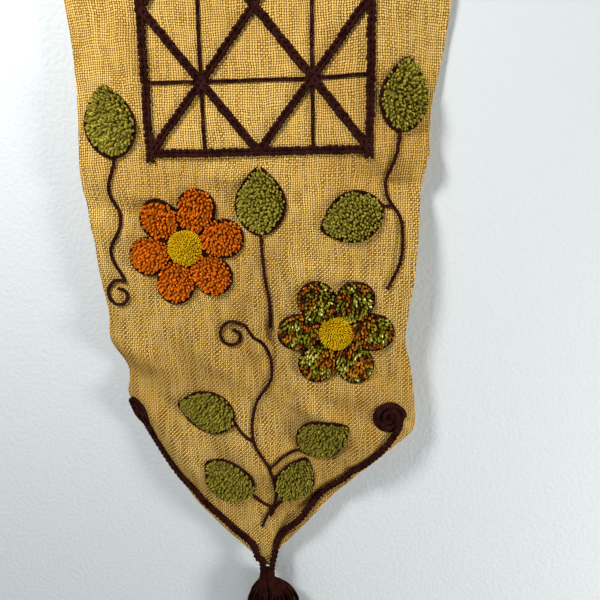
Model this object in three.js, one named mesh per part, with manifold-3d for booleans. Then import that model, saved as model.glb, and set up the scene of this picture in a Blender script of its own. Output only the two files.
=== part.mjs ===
// Yarn wall hanging. Millimetres, +Z up, the front faces -Y.
// The origin is the middle of the cloth's top edge. The yarn work follows the cloth's own relief.
import * as THREE from "three";
import Module from "manifold-3d";

const wasm = await Module();
wasm.setup();

// Sizes
const CLOTH = { thick: 1.3, hemThick: 2.7, hem: 15, hemStep: 5 };
const GAP = 0.6;
const BAR = { wide: 8.5, high: 3.4 };
const LONG_STITCH = { wide: 4, high: 2 };
const VINE = { wide: 4, high: 3 };
const PILE = { high: 9.5, rim: 5 };
const BRAID = { wide: 9.6, high: 4.2, gap: 1.1 };
const COIL = { radius: 20.5, high: 6, steps: 20 };
const TIP = { x: -8.7, z: -883 };

// Outline of the cloth, a row for each height, left and right edge
const OUTLINE = [
  { z: 0, left: -196, right: 196 },
  { z: -120, left: -194, right: 194.5 },
  { z: -225, left: -190, right: 192.5 },
  { z: -270, left: -187, right: 188 },
  { z: -330, left: -187, right: 176 },
  { z: -372, left: -190, right: 174.5 },
  { z: -413, left: -190, right: 166.5 },
  { z: -456, left: -183.5, right: 164.5 },
  { z: -500, left: -183, right: 161.5 },
  { z: -535, left: -179, right: 156.5 },
  { z: -570, left: -181.5, right: 153.5 },
  { z: -594, left: -172.5, right: 160.5 },
  { z: -618, left: -166.5, right: 164.5 },
  { z: -643, left: -175, right: 168 },
  { z: -668, left: -168.5, right: 170.5 },
  { z: -682, left: -161, right: 169.5 },
  { z: -694, left: -153.5, right: 154.5 },
  { z: -720, left: -138, right: 130.5 },
  { z: -748, left: -121, right: 102.5 },
  { z: -776, left: -98.8, right: 72 },
  { z: -804, left: -71.2, right: 50.4 },
  { z: -833, left: -47.2, right: 26.5 },
  { z: -863, left: -21, right: 0.5 },
  { z: -876, left: -15.5, right: -7 },
];

// How far the cloth stands forward down its length
const PROFILE = [
  { z: 0, out: 0 },
  { z: -230, out: 5 },
  { z: -420, out: 10 },
  { z: -560, out: 13 },
  { z: -680, out: 12 },
  { z: -800, out: 6 },
  { z: -900, out: 2 },
];

// Soft folds: centre, height, half width across and along, turn in degrees
const FOLDS = [
  { x: -178, z: -395, out: 4, across: 36, along: 60, turn: 0 },
  { x: -97, z: -432, out: -3.5, across: 34, along: 80, turn: 90 },
  { x: 129, z: -393, out: -3.5, across: 34, along: 60, turn: 85 },
  { x: 150, z: -455, out: 3, across: 34, along: 50, turn: 0 },
  { x: 84, z: -482, out: -3, across: 34, along: 46, turn: 80 },
  { x: -4, z: -566, out: 3, across: 34, along: 60, turn: 0 },
  { x: -78, z: -620, out: -4, across: 40, along: 44, turn: 20 },
  { x: 60, z: -700, out: -4, across: 36, along: 70, turn: 60 },
  { x: 140, z: -640, out: 4, across: 44, along: 50, turn: 0 },
  { x: -60, z: -790, out: 3, across: 36, along: 60, turn: -40 },
  { x: 12, z: -820, out: -3, across: 34, along: 50, turn: 20 },
  { x: 120, z: -180, out: 4, across: 50, along: 160, turn: 4 },
  { x: -60, z: -160, out: -3, across: 46, along: 150, turn: -3 },
];

// Where an edge curls back: side, height, reach along the edge, width of the curl and how far back it goes
const CURLS = [
  { side: "left", z: -676, along: 78, wide: 36, back: 25 },
  { side: "right", z: -250, along: 120, wide: 34, back: 12 },
  { side: "right", z: -515, along: 60, wide: 30, back: -7 },
  { side: "left", z: -250, along: 90, wide: 30, back: 5 },
  { side: "left", z: -540, along: 50, wide: 30, back: 6 },
  { side: "right", z: -735, along: 60, wide: 26, back: 6 },
];

// Vine paths in the cloth's plane, rows of x and z
const VINES = {
  vine_middle: [[-13, -816], [-6, -800], [6, -772], [0, -730], [-18, -690], [-14, -648], [6, -612], [-2, -572], [-24, -549]],
  vine_upper: [[4, -556], [6, -530], [2, -500], [0, -470], [0, -458]],
  vine_left: [[-152, -500], [-165, -470], [-152, -438], [-160, -405], [-151, -376]],
  vine_right: [[134, -512], [147, -480], [146, -440], [130, -410], [138, -376], [142, -358]],
};

// Curls at the end of a vine: centre, first radius, turns and the angle where the vine meets it
const CURL_ENDS = [
  { vine: "vine_middle", x: -36, z: -563, radius: 17, turns: 1.1, start: 50 },
  { vine: "vine_left", x: -160, z: -516, radius: 17, turns: 1.1, start: 60 },
];

// Leaves: centre, length, width, the direction of the tip, and where the stem leaves its vine
const LEAVES = [
  { name: "leaf_1", x: -50, z: -745, long: 62, wide: 40, turn: 140, vine: "vine_middle", from: [3, -790] },
  { name: "leaf_2", x: 30, z: -749, long: 54, wide: 36, turn: 62, vine: "vine_middle", from: [-2, -802] },
  { name: "leaf_3", x: -72, z: -656, long: 62, wide: 40, turn: 165, vine: "vine_middle", from: [-16, -694] },
  { name: "leaf_4", x: 64, z: -690, long: 62, wide: 40, turn: 35, vine: "vine_middle", from: [0, -728] },
  { name: "leaf_5", x: 0, z: -418, long: 62, wide: 42, turn: 90, vine: "vine_upper", from: [0, -462] },
  { name: "leaf_6", x: -152, z: -336, long: 64, wide: 42, turn: 95, vine: "vine_left", from: [-152, -380] },
  { name: "leaf_7", x: 146, z: -318, long: 62, wide: 38, turn: 85, vine: "vine_right", from: [141, -364] },
  { name: "leaf_8", x: 95, z: -436, long: 60, wide: 40, turn: 200, vine: "vine_right", from: [138, -424] },
];

// Flowers: centre, first petal's direction and colour
const FLOWERS = [
  { name: "flower_left", x: -82, z: -465, turn: 12, slot: "orange_pile" },
  { name: "flower_right", x: 79, z: -560, turn: 0, slot: "mixed_pile" },
];
const PETAL = { count: 6, out: 39, long: 41, wide: 33.5 };
const EYE = { radius: 12.5, high: 13 };

// Trellis: half width, top, row height and rows
const TRELLIS = { half: 112, top: -96, rise: 68, rows: 4, columns: 4 };

// Tassel: sizes of its head and rings of yarn ends
const TASSEL = { neck: 9.5, wide: 35, deep: 15, shift: 6, headEnd: -930, foot: -1006, strand: 2.1 };
const TASSEL_RINGS = [
  { share: 0.86, count: 24, splay: 1.14 },
  { share: 0.5, count: 12, splay: 1.12 },
  { share: 0.16, count: 4, splay: 1.1 },
];

const rad = THREE.MathUtils.degToRad;

// Straight-line reading of a table at a height
function tableAt(table, z, key) {
  const last = table.length - 1;
  const k = table.findIndex((row, i) => i < last && z >= table[i + 1].z);
  const i = k < 0 ? last - 1 : k;
  const t = THREE.MathUtils.clamp((table[i].z - z) / (table[i].z - table[i + 1].z), 0, 1);
  return THREE.MathUtils.lerp(table[i][key], table[i + 1][key], t);
}

// Smooth reading of the profile
function profileAt(z) {
  const near = (dz) => tableAt(PROFILE, z + dz, "out");
  return (near(-60) + near(-30) + near(0) + near(30) + near(60)) / 5 - (z > -60 ? (60 + z) * 0.006 : 0);
}

// Distance in from one edge, square to that edge
function fromEdge(x, z, side) {
  const edge = tableAt(OUTLINE, z, side);
  const lean = (tableAt(OUTLINE, z + 12, side) - tableAt(OUTLINE, z - 12, side)) / 24;
  return (side === "left" ? x - edge : edge - x) / Math.hypot(1, lean);
}

// How far the cloth's front stands forward at a place
function depth(x, z) {
  let out = profileAt(z) + 2.2 * Math.sin((x + 20) / 30 + z / 240) * Math.min(1, -z / 300);
  for (const fold of FOLDS) {
    const c = Math.cos(rad(fold.turn));
    const s = Math.sin(rad(fold.turn));
    const a = (c * (x - fold.x) + s * (z - fold.z)) / fold.across;
    const b = (-s * (x - fold.x) + c * (z - fold.z)) / fold.along;
    out += fold.out * Math.exp(-a * a - b * b);
  }
  for (const curl of CURLS) {
    const inside = Math.max(0, 1 - Math.max(0, fromEdge(x, z, curl.side)) / curl.wide);
    const along = (z - curl.z) / curl.along;
    out -= curl.back * inside * inside * Math.exp(-along * along);
  }
  return out;
}

// Point on the cloth, lifted square to its front
function lift(x, z, up) {
  const e = 1.5;
  const dx = (depth(x + e, z) - depth(x - e, z)) / (2 * e);
  const dz = (depth(x, z + e) - depth(x, z - e)) / (2 * e);
  const n = new THREE.Vector3(-dx, -1, -dz).normalize();
  return n.multiplyScalar(up).add(new THREE.Vector3(x, -depth(x, z), z));
}

// Closed mesh of points and faces, its faces turned outward
function geometryOf(points, faces) {
  const cross = new THREE.Vector3();
  const volume = faces.reduce(
    (sum, [a, b, c]) => sum + points[a].dot(cross.crossVectors(points[b], points[c])),
    0,
  );
  const turned = volume < 0 ? faces.map(([a, b, c]) => [a, c, b]) : faces;
  const g = new THREE.BufferGeometry();
  g.setAttribute("position", new THREE.Float32BufferAttribute(points.flatMap((p) => p.toArray()), 3));
  g.setIndex(turned.flat());
  return g;
}

function toManifold(g) {
  const made = new wasm.Manifold(
    new wasm.Mesh({
      numProp: 3,
      vertProperties: new Float32Array(g.getAttribute("position").array),
      triVerts: new Uint32Array(g.getIndex().array),
    }),
  );
  return made;
}

function fromManifold(solid) {
  const m = solid.getMesh();
  const g = new THREE.BufferGeometry();
  g.setAttribute("position", new THREE.Float32BufferAttribute(m.vertProperties, 3));
  g.setIndex(Array.from(m.triVerts));
  return g;
}

const fuse = (geometries) => fromManifold(wasm.Manifold.union(geometries.map(toManifold)));

// Closed skin between rings of equal length, with a fan over each end
function skin(rings) {
  const n = rings[0].length;
  const faces = [];
  const points = rings.flat();
  for (let r = 0; r + 1 < rings.length; r++)
    for (let i = 0; i < n; i++) {
      const j = (i + 1) % n;
      const [a, b, c, d] = [r * n + i, r * n + j, (r + 1) * n + j, (r + 1) * n + i];
      faces.push([a, b, c], [a, c, d]);
    }
  const middle = (ring) => ring.reduce((sum, p) => sum.add(p), new THREE.Vector3()).divideScalar(n);
  points.push(middle(rings[0]), middle(rings[rings.length - 1]));
  const first = points.length - 2;
  const lastRing = (rings.length - 1) * n;
  for (let i = 0; i < n; i++) {
    const j = (i + 1) % n;
    faces.push([first, j, i], [first + 1, lastRing + i, lastRing + j]);
  }
  return geometryOf(points, faces);
}

// The burlap panel: a grid of lanes and rows, front and back, with a thicker turned-under rim
function panel() {
  const lanes = [0, 7, 14, 22, 32, 44];
  const middle = 11;
  const heights = [0, -8, -15, -20];
  const top = -20;
  const rowStep = 18;
  for (let z = top - rowStep; z > -660; z -= rowStep) heights.push(z);
  heights.push(...[668, 682, 694, 707, 720, 734, 748, 762, 776, 790, 804, 818, 833, 848, 863, 876].map((v) => -v));
  const grid = heights.map((z) => {
    const left = tableAt(OUTLINE, z, "left");
    const right = tableAt(OUTLINE, z, "right");
    const width = right - left;
    const s = Math.min(1, width / 300);
    const inner = lanes[lanes.length - 1] * s;
    const xs = lanes.map((v) => left + v * s);
    for (let i = 1; i < middle; i++) xs.push(THREE.MathUtils.lerp(left + inner, right - inner, i / middle));
    xs.push(...lanes.map((v) => right - v * s).reverse());
    return xs.map((x) => {
      const rim = Math.min(fromEdge(x, z, "left"), fromEdge(x, z, "right"), -z);
      const turned = 1 - THREE.MathUtils.smoothstep(rim, CLOTH.hem, CLOTH.hem + CLOTH.hemStep);
      const thick = THREE.MathUtils.lerp(CLOTH.thick, CLOTH.hemThick, turned);
      return { front: lift(x, z, 0), back: lift(x, z, -thick) };
    });
  });
  const cols = grid[0].length;
  const rows = grid.length;
  const points = [];
  for (const face of ["front", "back"]) for (const row of grid) for (const cell of row) points.push(cell[face]);
  const at = (r, c, back) => (back ? rows * cols : 0) + r * cols + c;
  const faces = [];
  const quad = (a, b, c, d) => faces.push([a, b, c], [a, c, d]);
  for (let r = 0; r + 1 < rows; r++)
    for (let c = 0; c + 1 < cols; c++) {
      quad(at(r, c), at(r + 1, c), at(r + 1, c + 1), at(r, c + 1));
      quad(at(r, c, 1), at(r, c + 1, 1), at(r + 1, c + 1, 1), at(r + 1, c, 1));
    }
  for (let r = 0; r + 1 < rows; r++) {
    quad(at(r, 0), at(r, 0, 1), at(r + 1, 0, 1), at(r + 1, 0));
    quad(at(r, cols - 1), at(r + 1, cols - 1), at(r + 1, cols - 1, 1), at(r, cols - 1, 1));
  }
  for (let c = 0; c + 1 < cols; c++) {
    quad(at(0, c), at(0, c + 1), at(0, c + 1, 1), at(0, c, 1));
    quad(at(rows - 1, c), at(rows - 1, c, 1), at(rows - 1, c + 1, 1), at(rows - 1, c + 1));
  }
  return geometryOf(points, faces);
}

// Yarn laid on the cloth along a path: a low section, flat below and rounded above
function laid(path, size, step, closed = false) {
  const curve = new THREE.CatmullRomCurve3(path.map(([x, z]) => new THREE.Vector3(x, 0, z)), closed);
  const count = Math.max(2, Math.round(curve.getLength() / step));
  const spots = curve.getSpacedPoints(count);
  const sides = [
    { off: -0.5, up: 0 },
    { off: 0.5, up: 0 },
    { off: 0.32, up: 1 },
    { off: -0.32, up: 1 },
  ];
  const rings = spots.map((p, i) => {
    const a = spots[Math.max(0, i - 1)];
    const b = spots[Math.min(count, i + 1)];
    const along = new THREE.Vector3().subVectors(b, a).normalize();
    return sides.map(({ off, up }) =>
      lift(p.x - along.z * off * size.wide, p.z + along.x * off * size.wide, (size.gap ?? GAP) + up * size.high),
    );
  });
  return skin(rings);
}

// Points of a leaf or petal outline, grown by an amount
function leafPoint(leaf, angle, grow, share = 1) {
  const a = leaf.long / 2 + grow;
  const b = leaf.wide / 2 + grow;
  const blunt = 1 - 0.16 * Math.cos(angle) - 0.1 * Math.cos(2 * angle);
  const u = a * Math.cos(angle) * share;
  const v = b * Math.sin(angle) * blunt * share;
  const c = Math.cos(rad(leaf.turn));
  const s = Math.sin(rad(leaf.turn));
  return [leaf.x + c * u - s * v, leaf.z + s * u + c * v];
}

function petalPoint(petal, angle, grow, share = 1) {
  const a = petal.long / 2 + grow;
  const b = petal.wide / 2 + grow;
  const u = a * Math.cos(angle) * share;
  const v = b * Math.sin(angle) * (1 + 0.1 * Math.cos(angle)) * share;
  const c = Math.cos(rad(petal.turn));
  const s = Math.sin(rad(petal.turn));
  return [petal.x + c * u - s * v, petal.z + s * u + c * v];
}

// A lumpy pile pad inside an outline
function pad(shape, pointAt, steps, high, rim, gap = GAP) {
  const lump = (x, z) => 0.55 * Math.sin(x * 0.9) * Math.cos(z * 0.8);
  const layers = [
    { share: 0.5, up: 0, lumpy: 0 },
    { share: 1, up: 0, lumpy: 0 },
    { share: 1, up: rim, lumpy: 0.5 },
    { share: 0.76, up: high * 0.9, lumpy: 1 },
    { share: 0.36, up: high, lumpy: 1 },
  ];
  const rings = layers.map(({ share, up, lumpy }) => {
    const ring = [];
    for (let i = 0; i < steps; i++) {
      const [x, z] = pointAt(shape, (-2 * Math.PI * i) / steps, 0, share);
      ring.push(lift(x, z, gap + up + lumpy * lump(x, z)));
    }
    return ring;
  });
  return skin(rings);
}

// A ring of couched yarn round an outline
function outlineRing(shape, pointAt, steps) {
  const sides = [
    { grow: 0.5, up: 0 },
    { grow: 4.2, up: 0 },
    { grow: 3.4, up: VINE.high },
    { grow: 1, up: VINE.high },
  ];
  const rings = [];
  for (let i = 0; i < steps; i++)
    rings.push(
      sides.map(({ grow, up }) => {
        const [x, z] = pointAt(shape, (2 * Math.PI * i) / steps, grow);
        return lift(x, z, GAP + up);
      }),
    );
  const n = sides.length;
  const faces = [];
  for (let r = 0; r < steps; r++)
    for (let i = 0; i < n; i++) {
      const j = (i + 1) % n;
      const q = (r + 1) % steps;
      const [a, b, c, d] = [r * n + i, r * n + j, q * n + j, q * n + i];
      faces.push([a, b, c], [a, c, d]);
    }
  return geometryOf(rings.flat(), faces);
}

// A curl of yarn that winds in towards its centre
function curlPath({ x, z, radius, turns, start }) {
  const path = [];
  const steps = Math.round(turns * 10);
  for (let i = 0; i <= steps; i++) {
    const t = i / steps;
    const angle = rad(start) + 2 * Math.PI * turns * t;
    const r = radius * (1 - 0.62 * t);
    path.push([x + r * Math.cos(angle), z + r * Math.sin(angle)]);
  }
  return path;
}

// Edge braid: from its coil down to the tip
function braid(side, inset, coil) {
  const rows = OUTLINE.filter((row) => row.z < coil.meets[1] - 12 && row.z > -870);
  const inwards = side === "left" ? 1 : -1;
  const path = rows.map((row) => {
    const lean = (tableAt(OUTLINE, row.z + 12, side) - tableAt(OUTLINE, row.z - 12, side)) / 24;
    const near = THREE.MathUtils.clamp((row.z + 866) / 24, 0, 1);
    const off = tableAt(inset, row.z, "in") * Math.hypot(1, lean) * near;
    return [row[side] + inwards * Math.max(off, 1), row.z];
  });
  path.unshift(coil.meets);
  path.push([TIP.x - inwards * 6.4, -868], [TIP.x - inwards * 5.3, TIP.z + 0.4]);
  const rope = laid(path, BRAID, 10);
  return fuse([rope, pad(coil, coilPoint, COIL.steps, COIL.high, COIL.high * 0.55, BRAID.gap)]);
}

function coilPoint(coil, angle, grow, share = 1) {
  const c = Math.cos(rad(coil.turn));
  const s = Math.sin(rad(coil.turn));
  const u = COIL.radius * coil.squeeze * Math.cos(angle) * share;
  const v = COIL.radius * Math.sin(angle) * share;
  return [coil.x + c * u - s * v, coil.z + s * u + c * v];
}

// Tassel: a bound neck and a rounded head, with rows of yarn ends that hang from it
function tassel() {
  const y = -depth(TIP.x, TIP.z) - 2;
  const head = [
    { z: TIP.z - 0.4, wide: TASSEL.neck, deep: 4.5, shift: 0 },
    { z: TIP.z - 9, wide: TASSEL.neck, deep: 6, shift: 0 },
    { z: TIP.z - 15, wide: TASSEL.neck * 1.4, deep: 8, shift: 1 },
    { z: TIP.z - 22, wide: TASSEL.wide * 0.65, deep: TASSEL.deep * 0.8, shift: 4 },
    { z: TIP.z - 34, wide: TASSEL.wide * 0.94, deep: TASSEL.deep, shift: TASSEL.shift },
    { z: TASSEL.headEnd, wide: TASSEL.wide, deep: TASSEL.deep, shift: TASSEL.shift },
  ];
  const steps = 20;
  const rings = head.map(({ z, wide, deep, shift }) => {
    const ring = [];
    for (let i = 0; i < steps; i++) {
      const a = (-2 * Math.PI * i) / steps;
      ring.push(new THREE.Vector3(TIP.x + shift + wide * Math.cos(a), y + deep * Math.sin(a), z));
    }
    return ring;
  });
  const parts = [skin(rings)];
  for (const ring of TASSEL_RINGS)
    for (let i = 0; i < ring.count; i++) {
      const a = (2 * Math.PI * (i + 0.5 * ring.share)) / ring.count;
      const end = TASSEL.foot + 7 * Math.abs(Math.sin(5 * a + ring.count));
      const stations = [
        { z: TASSEL.headEnd + 6, out: ring.share, size: 1 },
        { z: (TASSEL.headEnd + end) / 2, out: ring.share * ring.splay, size: 1 },
        { z: end, out: ring.share * (2 * ring.splay - 1), size: 0.7 },
      ];
      parts.push(
        skin(
          stations.map(({ z, out, size }) =>
            [0, -1, -2].map((k) => {
              const t = a + (2 * Math.PI * k) / 3;
              const r = TASSEL.strand * size;
              return new THREE.Vector3(
                TIP.x + TASSEL.shift + TASSEL.wide * out * Math.cos(a) + r * Math.cos(t),
                y + TASSEL.deep * out * Math.sin(a) + r * Math.sin(t),
                z,
              );
            }),
          ),
        ),
      );
    }
  return fuse(parts);
}

// Trellis: rails, uprights and crossed bars with long thin stitches through the crossings
function trellis() {
  const { half, top, rise, rows, columns } = TRELLIS;
  const step = (2 * half) / columns;
  const foot = top - rise * rows;
  const spot = (i, j) => [-half + i * step, top - rise * j];
  const bars = [
    [spot(0, 0), spot(columns, 0)],
    [spot(0, rows), spot(columns, rows)],
    [[-half, top + 8], [-half, foot - 8]],
    [[half, top + 8], [half, foot - 8]],
  ];
  for (let i = 0; i <= columns; i += 2) {
    bars.push([spot(i, 0), spot(columns, columns - i)], [spot(i, 0), spot(0, i)]);
    if (i > 0) bars.push([spot(0, i), spot(columns - i, rows)]);
    if (i > 0 && i < columns) bars.push([spot(columns, i), spot(i, rows)]);
  }
  const long = (a, b) => Math.hypot(a[0] - b[0], a[1] - b[1]) > 1;
  const parts = bars.filter(([a, b]) => long(a, b)).map(([a, b]) => laid([a, b], BAR, 38));
  for (let k = 1; k < columns; k += 2) {
    parts.push(laid([spot(k, 0), spot(k, rows)], LONG_STITCH, 38));
    parts.push(laid([spot(0, k), spot(columns, k)], LONG_STITCH, 38));
  }
  return fuse(parts);
}

// Colours by slot
const COLOURS = {
  burlap: 0xc39a4c,
  brown_yarn: 0x35191a,
  green_pile: 0x6d7a22,
  orange_pile: 0xd0700f,
  mixed_pile: 0x6b5a20,
  yellow_pile: 0xd9a41a,
};

const hanging = new THREE.Group();
function add(name, slot, geometry) {
  const material = new THREE.MeshStandardMaterial({ color: COLOURS[slot], roughness: 0.9 });
  const mesh = new THREE.Mesh(geometry, material);
  mesh.name = name;
  hanging.add(mesh);
}

add("burlap_panel", "burlap", panel());
add("trellis", "brown_yarn", trellis());

for (const [vine, path] of Object.entries(VINES)) {
  const parts = [laid(path, VINE, 16)];
  for (const curl of CURL_ENDS) if (curl.vine === vine) parts.push(laid(curlPath(curl), VINE, 7));
  for (const leaf of LEAVES)
    if (leaf.vine === vine) {
      parts.push(laid([leaf.from, leafPoint(leaf, Math.PI, 2.6)], VINE, 12));
      parts.push(outlineRing(leaf, leafPoint, 12));
    }
  add(vine, "brown_yarn", fuse(parts));
}
for (const leaf of LEAVES) add(leaf.name, "green_pile", pad(leaf, leafPoint, 12, PILE.high, PILE.rim));

for (const flower of FLOWERS) {
  const petals = [];
  for (let i = 0; i < PETAL.count; i++) {
    const turn = flower.turn + (360 * i) / PETAL.count;
    petals.push({
      x: flower.x + PETAL.out * Math.cos(rad(turn)),
      z: flower.z + PETAL.out * Math.sin(rad(turn)),
      long: PETAL.long,
      wide: PETAL.wide,
      turn,
    });
  }
  add(flower.name + "_outline", "brown_yarn", fuse(petals.map((p) => outlineRing(p, petalPoint, 10))));
  petals.forEach((p, i) =>
    add(`${flower.name}_petal_${i + 1}`, flower.slot, pad(p, petalPoint, 10, PILE.high, PILE.rim)),
  );
  const eye = { x: flower.x, z: flower.z, long: 2 * EYE.radius, wide: 2 * EYE.radius, turn: 0 };
  add(flower.name + "_eye", "yellow_pile", pad(eye, petalPoint, 10, EYE.high, EYE.high * 0.7));
}

add(
  "braid_left",
  "brown_yarn",
  braid("left", [{ z: -600, in: 8 }, { z: -729, in: 7 }, { z: -758, in: 12 }, { z: -900, in: 10.5 }], {
    x: -156.5,
    z: -661,
    turn: 28,
    squeeze: 0.6,
    meets: [-146.5, -679],
  }),
);
add(
  "braid_right",
  "brown_yarn",
  braid("right", [{ z: -600, in: 12.5 }, { z: -767, in: 12.5 }, { z: -796, in: 11 }, { z: -900, in: 11 }], {
    x: 139,
    z: -659,
    turn: 0,
    squeeze: 1,
    meets: [150, -672],
  }),
);
add("tassel", "brown_yarn", tassel());

export default hanging;
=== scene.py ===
"""Dresses the yarn wall hanging: burlap, stitched yarn, cut pile, braids and a tassel."""

import math

import bmesh
import bpy
import numpy as np
from mathutils import Matrix, Vector

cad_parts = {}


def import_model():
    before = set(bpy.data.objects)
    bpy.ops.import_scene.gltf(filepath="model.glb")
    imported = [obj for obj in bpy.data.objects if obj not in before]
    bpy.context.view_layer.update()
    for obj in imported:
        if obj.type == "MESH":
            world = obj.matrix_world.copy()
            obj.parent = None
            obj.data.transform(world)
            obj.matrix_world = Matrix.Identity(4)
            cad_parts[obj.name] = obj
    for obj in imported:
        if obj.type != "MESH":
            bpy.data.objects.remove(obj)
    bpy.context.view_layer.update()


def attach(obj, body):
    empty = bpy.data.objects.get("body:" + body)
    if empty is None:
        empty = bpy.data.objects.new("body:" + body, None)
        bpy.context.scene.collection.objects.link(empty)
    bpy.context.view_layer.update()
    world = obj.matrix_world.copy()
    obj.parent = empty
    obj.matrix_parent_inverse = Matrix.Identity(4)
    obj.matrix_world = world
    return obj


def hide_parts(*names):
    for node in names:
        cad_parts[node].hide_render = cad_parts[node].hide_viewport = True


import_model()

bl_info = {
    "name": "Yarn wall hanging",
    "version": (1, 0, 0),
    "blender": (4, 5, 0),
    "location": "3D View > Sidebar > Hanging",
    "description": "Burlap wall hanging with stitched yarn, cut pile, braids and a tassel",
    "category": "Add Mesh",
}

# All lengths in the tables and functions below are millimetres; a finished mesh is in metres
MM = 0.001

# Outline of the cloth: height, left edge, right edge
OUTLINE = np.array([
    (0, -196, 196), (-120, -194, 194.5), (-225, -190, 192.5), (-270, -187, 188), (-330, -187, 176),
    (-372, -190, 174.5), (-413, -190, 166.5), (-456, -183.5, 164.5), (-500, -183, 161.5),
    (-535, -179, 156.5), (-570, -181.5, 153.5), (-594, -172.5, 160.5), (-618, -166.5, 164.5),
    (-643, -175, 168), (-668, -168.5, 170.5), (-682, -161, 169.5), (-694, -153.5, 154.5),
    (-720, -138, 130.5), (-748, -121, 102.5), (-776, -98.8, 72), (-804, -71.2, 50.4),
    (-833, -47.2, 26.5), (-863, -21, 0.5), (-876, -15.5, -7),
])
LEFT, RIGHT = 1, 2

# How far the cloth stands forward: height, distance
PROFILE = np.array([(0, 0), (-230, 5), (-420, 10), (-560, 13), (-680, 12), (-800, 6), (-900, 2)])

# Soft folds: x, z, out, half width across, half width along, turn in degrees
FOLDS = [
    (-178, -395, 4, 36, 60, 0), (-97, -432, -3.5, 34, 80, 90), (129, -393, -3.5, 34, 60, 85),
    (150, -455, 3, 34, 50, 0), (84, -482, -3, 34, 46, 80), (-4, -566, 3, 34, 60, 0),
    (-78, -620, -4, 40, 44, 20), (60, -700, -4, 36, 70, 60), (140, -640, 4, 44, 50, 0),
    (-60, -790, 3, 36, 60, -40), (12, -820, -3, 34, 50, 20), (120, -180, 4, 50, 160, 4),
    (-60, -160, -3, 46, 150, -3),
]

# Small puckers round the needlework, in the same columns
PUCKERS = [
    (78, -488, -1.6, 5, 26, 80), (96, -497, 1.2, 6, 22, 74), (-6, -566, 1.6, 7, 34, 4),
    (10, -572, -1.5, 6, 30, 2), (22, -566, 1.0, 6, 26, -4), (-112, -412, 1.2, 7, 40, 84),
    (-120, -428, -1.3, 6, 44, 86), (120, -396, -1.4, 6, 34, 82), (118, -410, 1.0, 6, 30, 80),
    (-96, -604, -1.3, 8, 26, 20), (60, -642, -1.2, 6, 30, 70), (48, -655, 1.1, 7, 30, 66),
    (86, -728, -1.2, 6, 26, 56), (-8, -668, -1.0, 5, 22, -20), (-150, -600, 1.4, 8, 24, 30),
    (132, -600, -1.4, 7, 28, 10), (-40, -378, -0.9, 6, 40, 88), (-130, -262, 1.2, 9, 60, 6),
    (60, -384, -0.9, 6, 30, 88), (-24, -690, 2.6, 20, 75, 30), (-66, -700, -2.0, 16, 50, 30),
    (36, -705, -1.5, 22, 50, 30), (-73, -575, 2.0, 16, 34, 20), (84, -676, 2.2, 26, 50, 60),
    (118, -290, 3.0, 30, 90, 0), (75, -455, 1.5, 22, 40, 60), (8, -838, -2.4, 8, 26, -24),
    (-6, -858, 1.6, 6, 18, 6), (-28, -392, 2.4, 9, 30, 88), (-9, -549, 2.8, 8, 36, 0),
    (6, -544, -1.8, 8, 34, 0), (-50, -600, 2.6, 11, 32, 52), (44, -640, 2.4, 10, 28, 40),
    (101, -632, 2.2, 13, 34, 86), (-145, -584, 2.8, 13, 38, 62), (-150, -612, -2.2, 13, 36, 60),
    (-174, -419, -2.2, 15, 40, 84), (150, -372, 2.4, 14, 42, 88), (150, -402, -2.2, 14, 40, 86),
    (-41, -712, 2.6, 17, 44, 42), (64, -492, 2.2, 11, 26, 84), (28, -470, 2.0, 12, 40, 10),
    (-104, -640, 2.2, 13, 40, 58), (176, -262, -3.2, 26, 90, 0), (-118, -640, -2.4, 22, 46, 62),
    (104, -712, 2.0, 14, 44, -50), (60, -770, -2.0, 12, 40, -52), (-80, -742, 2.0, 12, 36, 50),
]

# How many times as high as its table all puckers are made
PUCKER_HEIGHT = 3.1

# Where an edge curls back: side, height, reach along the edge, width of the curl, how far back
CURLS = [
    (LEFT, -676, 78, 36, 25), (RIGHT, -250, 120, 34, 12), (RIGHT, -515, 60, 30, -7),
    (LEFT, -250, 90, 30, 5), (LEFT, -540, 50, 30, 6), (RIGHT, -735, 60, 26, 6),
]

# Fine ripples all over the cloth: height, length across and along, phase
RIPPLES = [(0.28, 7.1, 12.3, 0), (0.24, 12.7, -8.3, 1.7), (0.3, 41, 17, 0)]

# The cloth's point, x and z
TIP = (-8.7, -883.0)

# Trellis: half width, top, row height and rows
TRELLIS = {"half": 112, "top": -96, "rise": 68, "rows": 4, "columns": 4}

# Vine paths, rows of x and z
VINES = {
    "vine_middle": [
        (-13, -816), (-6, -800), (6, -772), (0, -730), (-18, -690), (-14, -648), (6, -612), (-2, -572),
        (-24, -549),
    ],
    "vine_upper": [(4, -556), (6, -530), (2, -500), (0, -470), (0, -458)],
    "vine_left": [(-152, -500), (-165, -470), (-152, -438), (-160, -405), (-151, -376)],
    "vine_right": [(134, -512), (147, -480), (146, -440), (130, -410), (138, -376), (142, -358)],
}

# Curls at the end of a vine: x, z, first radius, turns, start angle
CURL_ENDS = {"vine_middle": (-36, -563, 17, 1.1, 50), "vine_left": (-160, -516, 17, 1.1, 60)}

# Leaves: x, z, length, width, direction of the tip, vine, where the stem leaves the vine
LEAVES = {
    "leaf_1": (-50, -745, 62, 40, 140, "vine_middle", (3, -790)),
    "leaf_2": (30, -749, 54, 36, 62, "vine_middle", (-2, -802)),
    "leaf_3": (-72, -656, 62, 40, 165, "vine_middle", (-16, -694)),
    "leaf_4": (64, -690, 62, 40, 35, "vine_middle", (0, -728)),
    "leaf_5": (0, -418, 62, 42, 90, "vine_upper", (0, -462)),
    "leaf_6": (-152, -336, 64, 42, 95, "vine_left", (-152, -380)),
    "leaf_7": (146, -318, 62, 38, 85, "vine_right", (141, -364)),
    "leaf_8": (95, -436, 60, 40, 200, "vine_right", (138, -424)),
}

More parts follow.
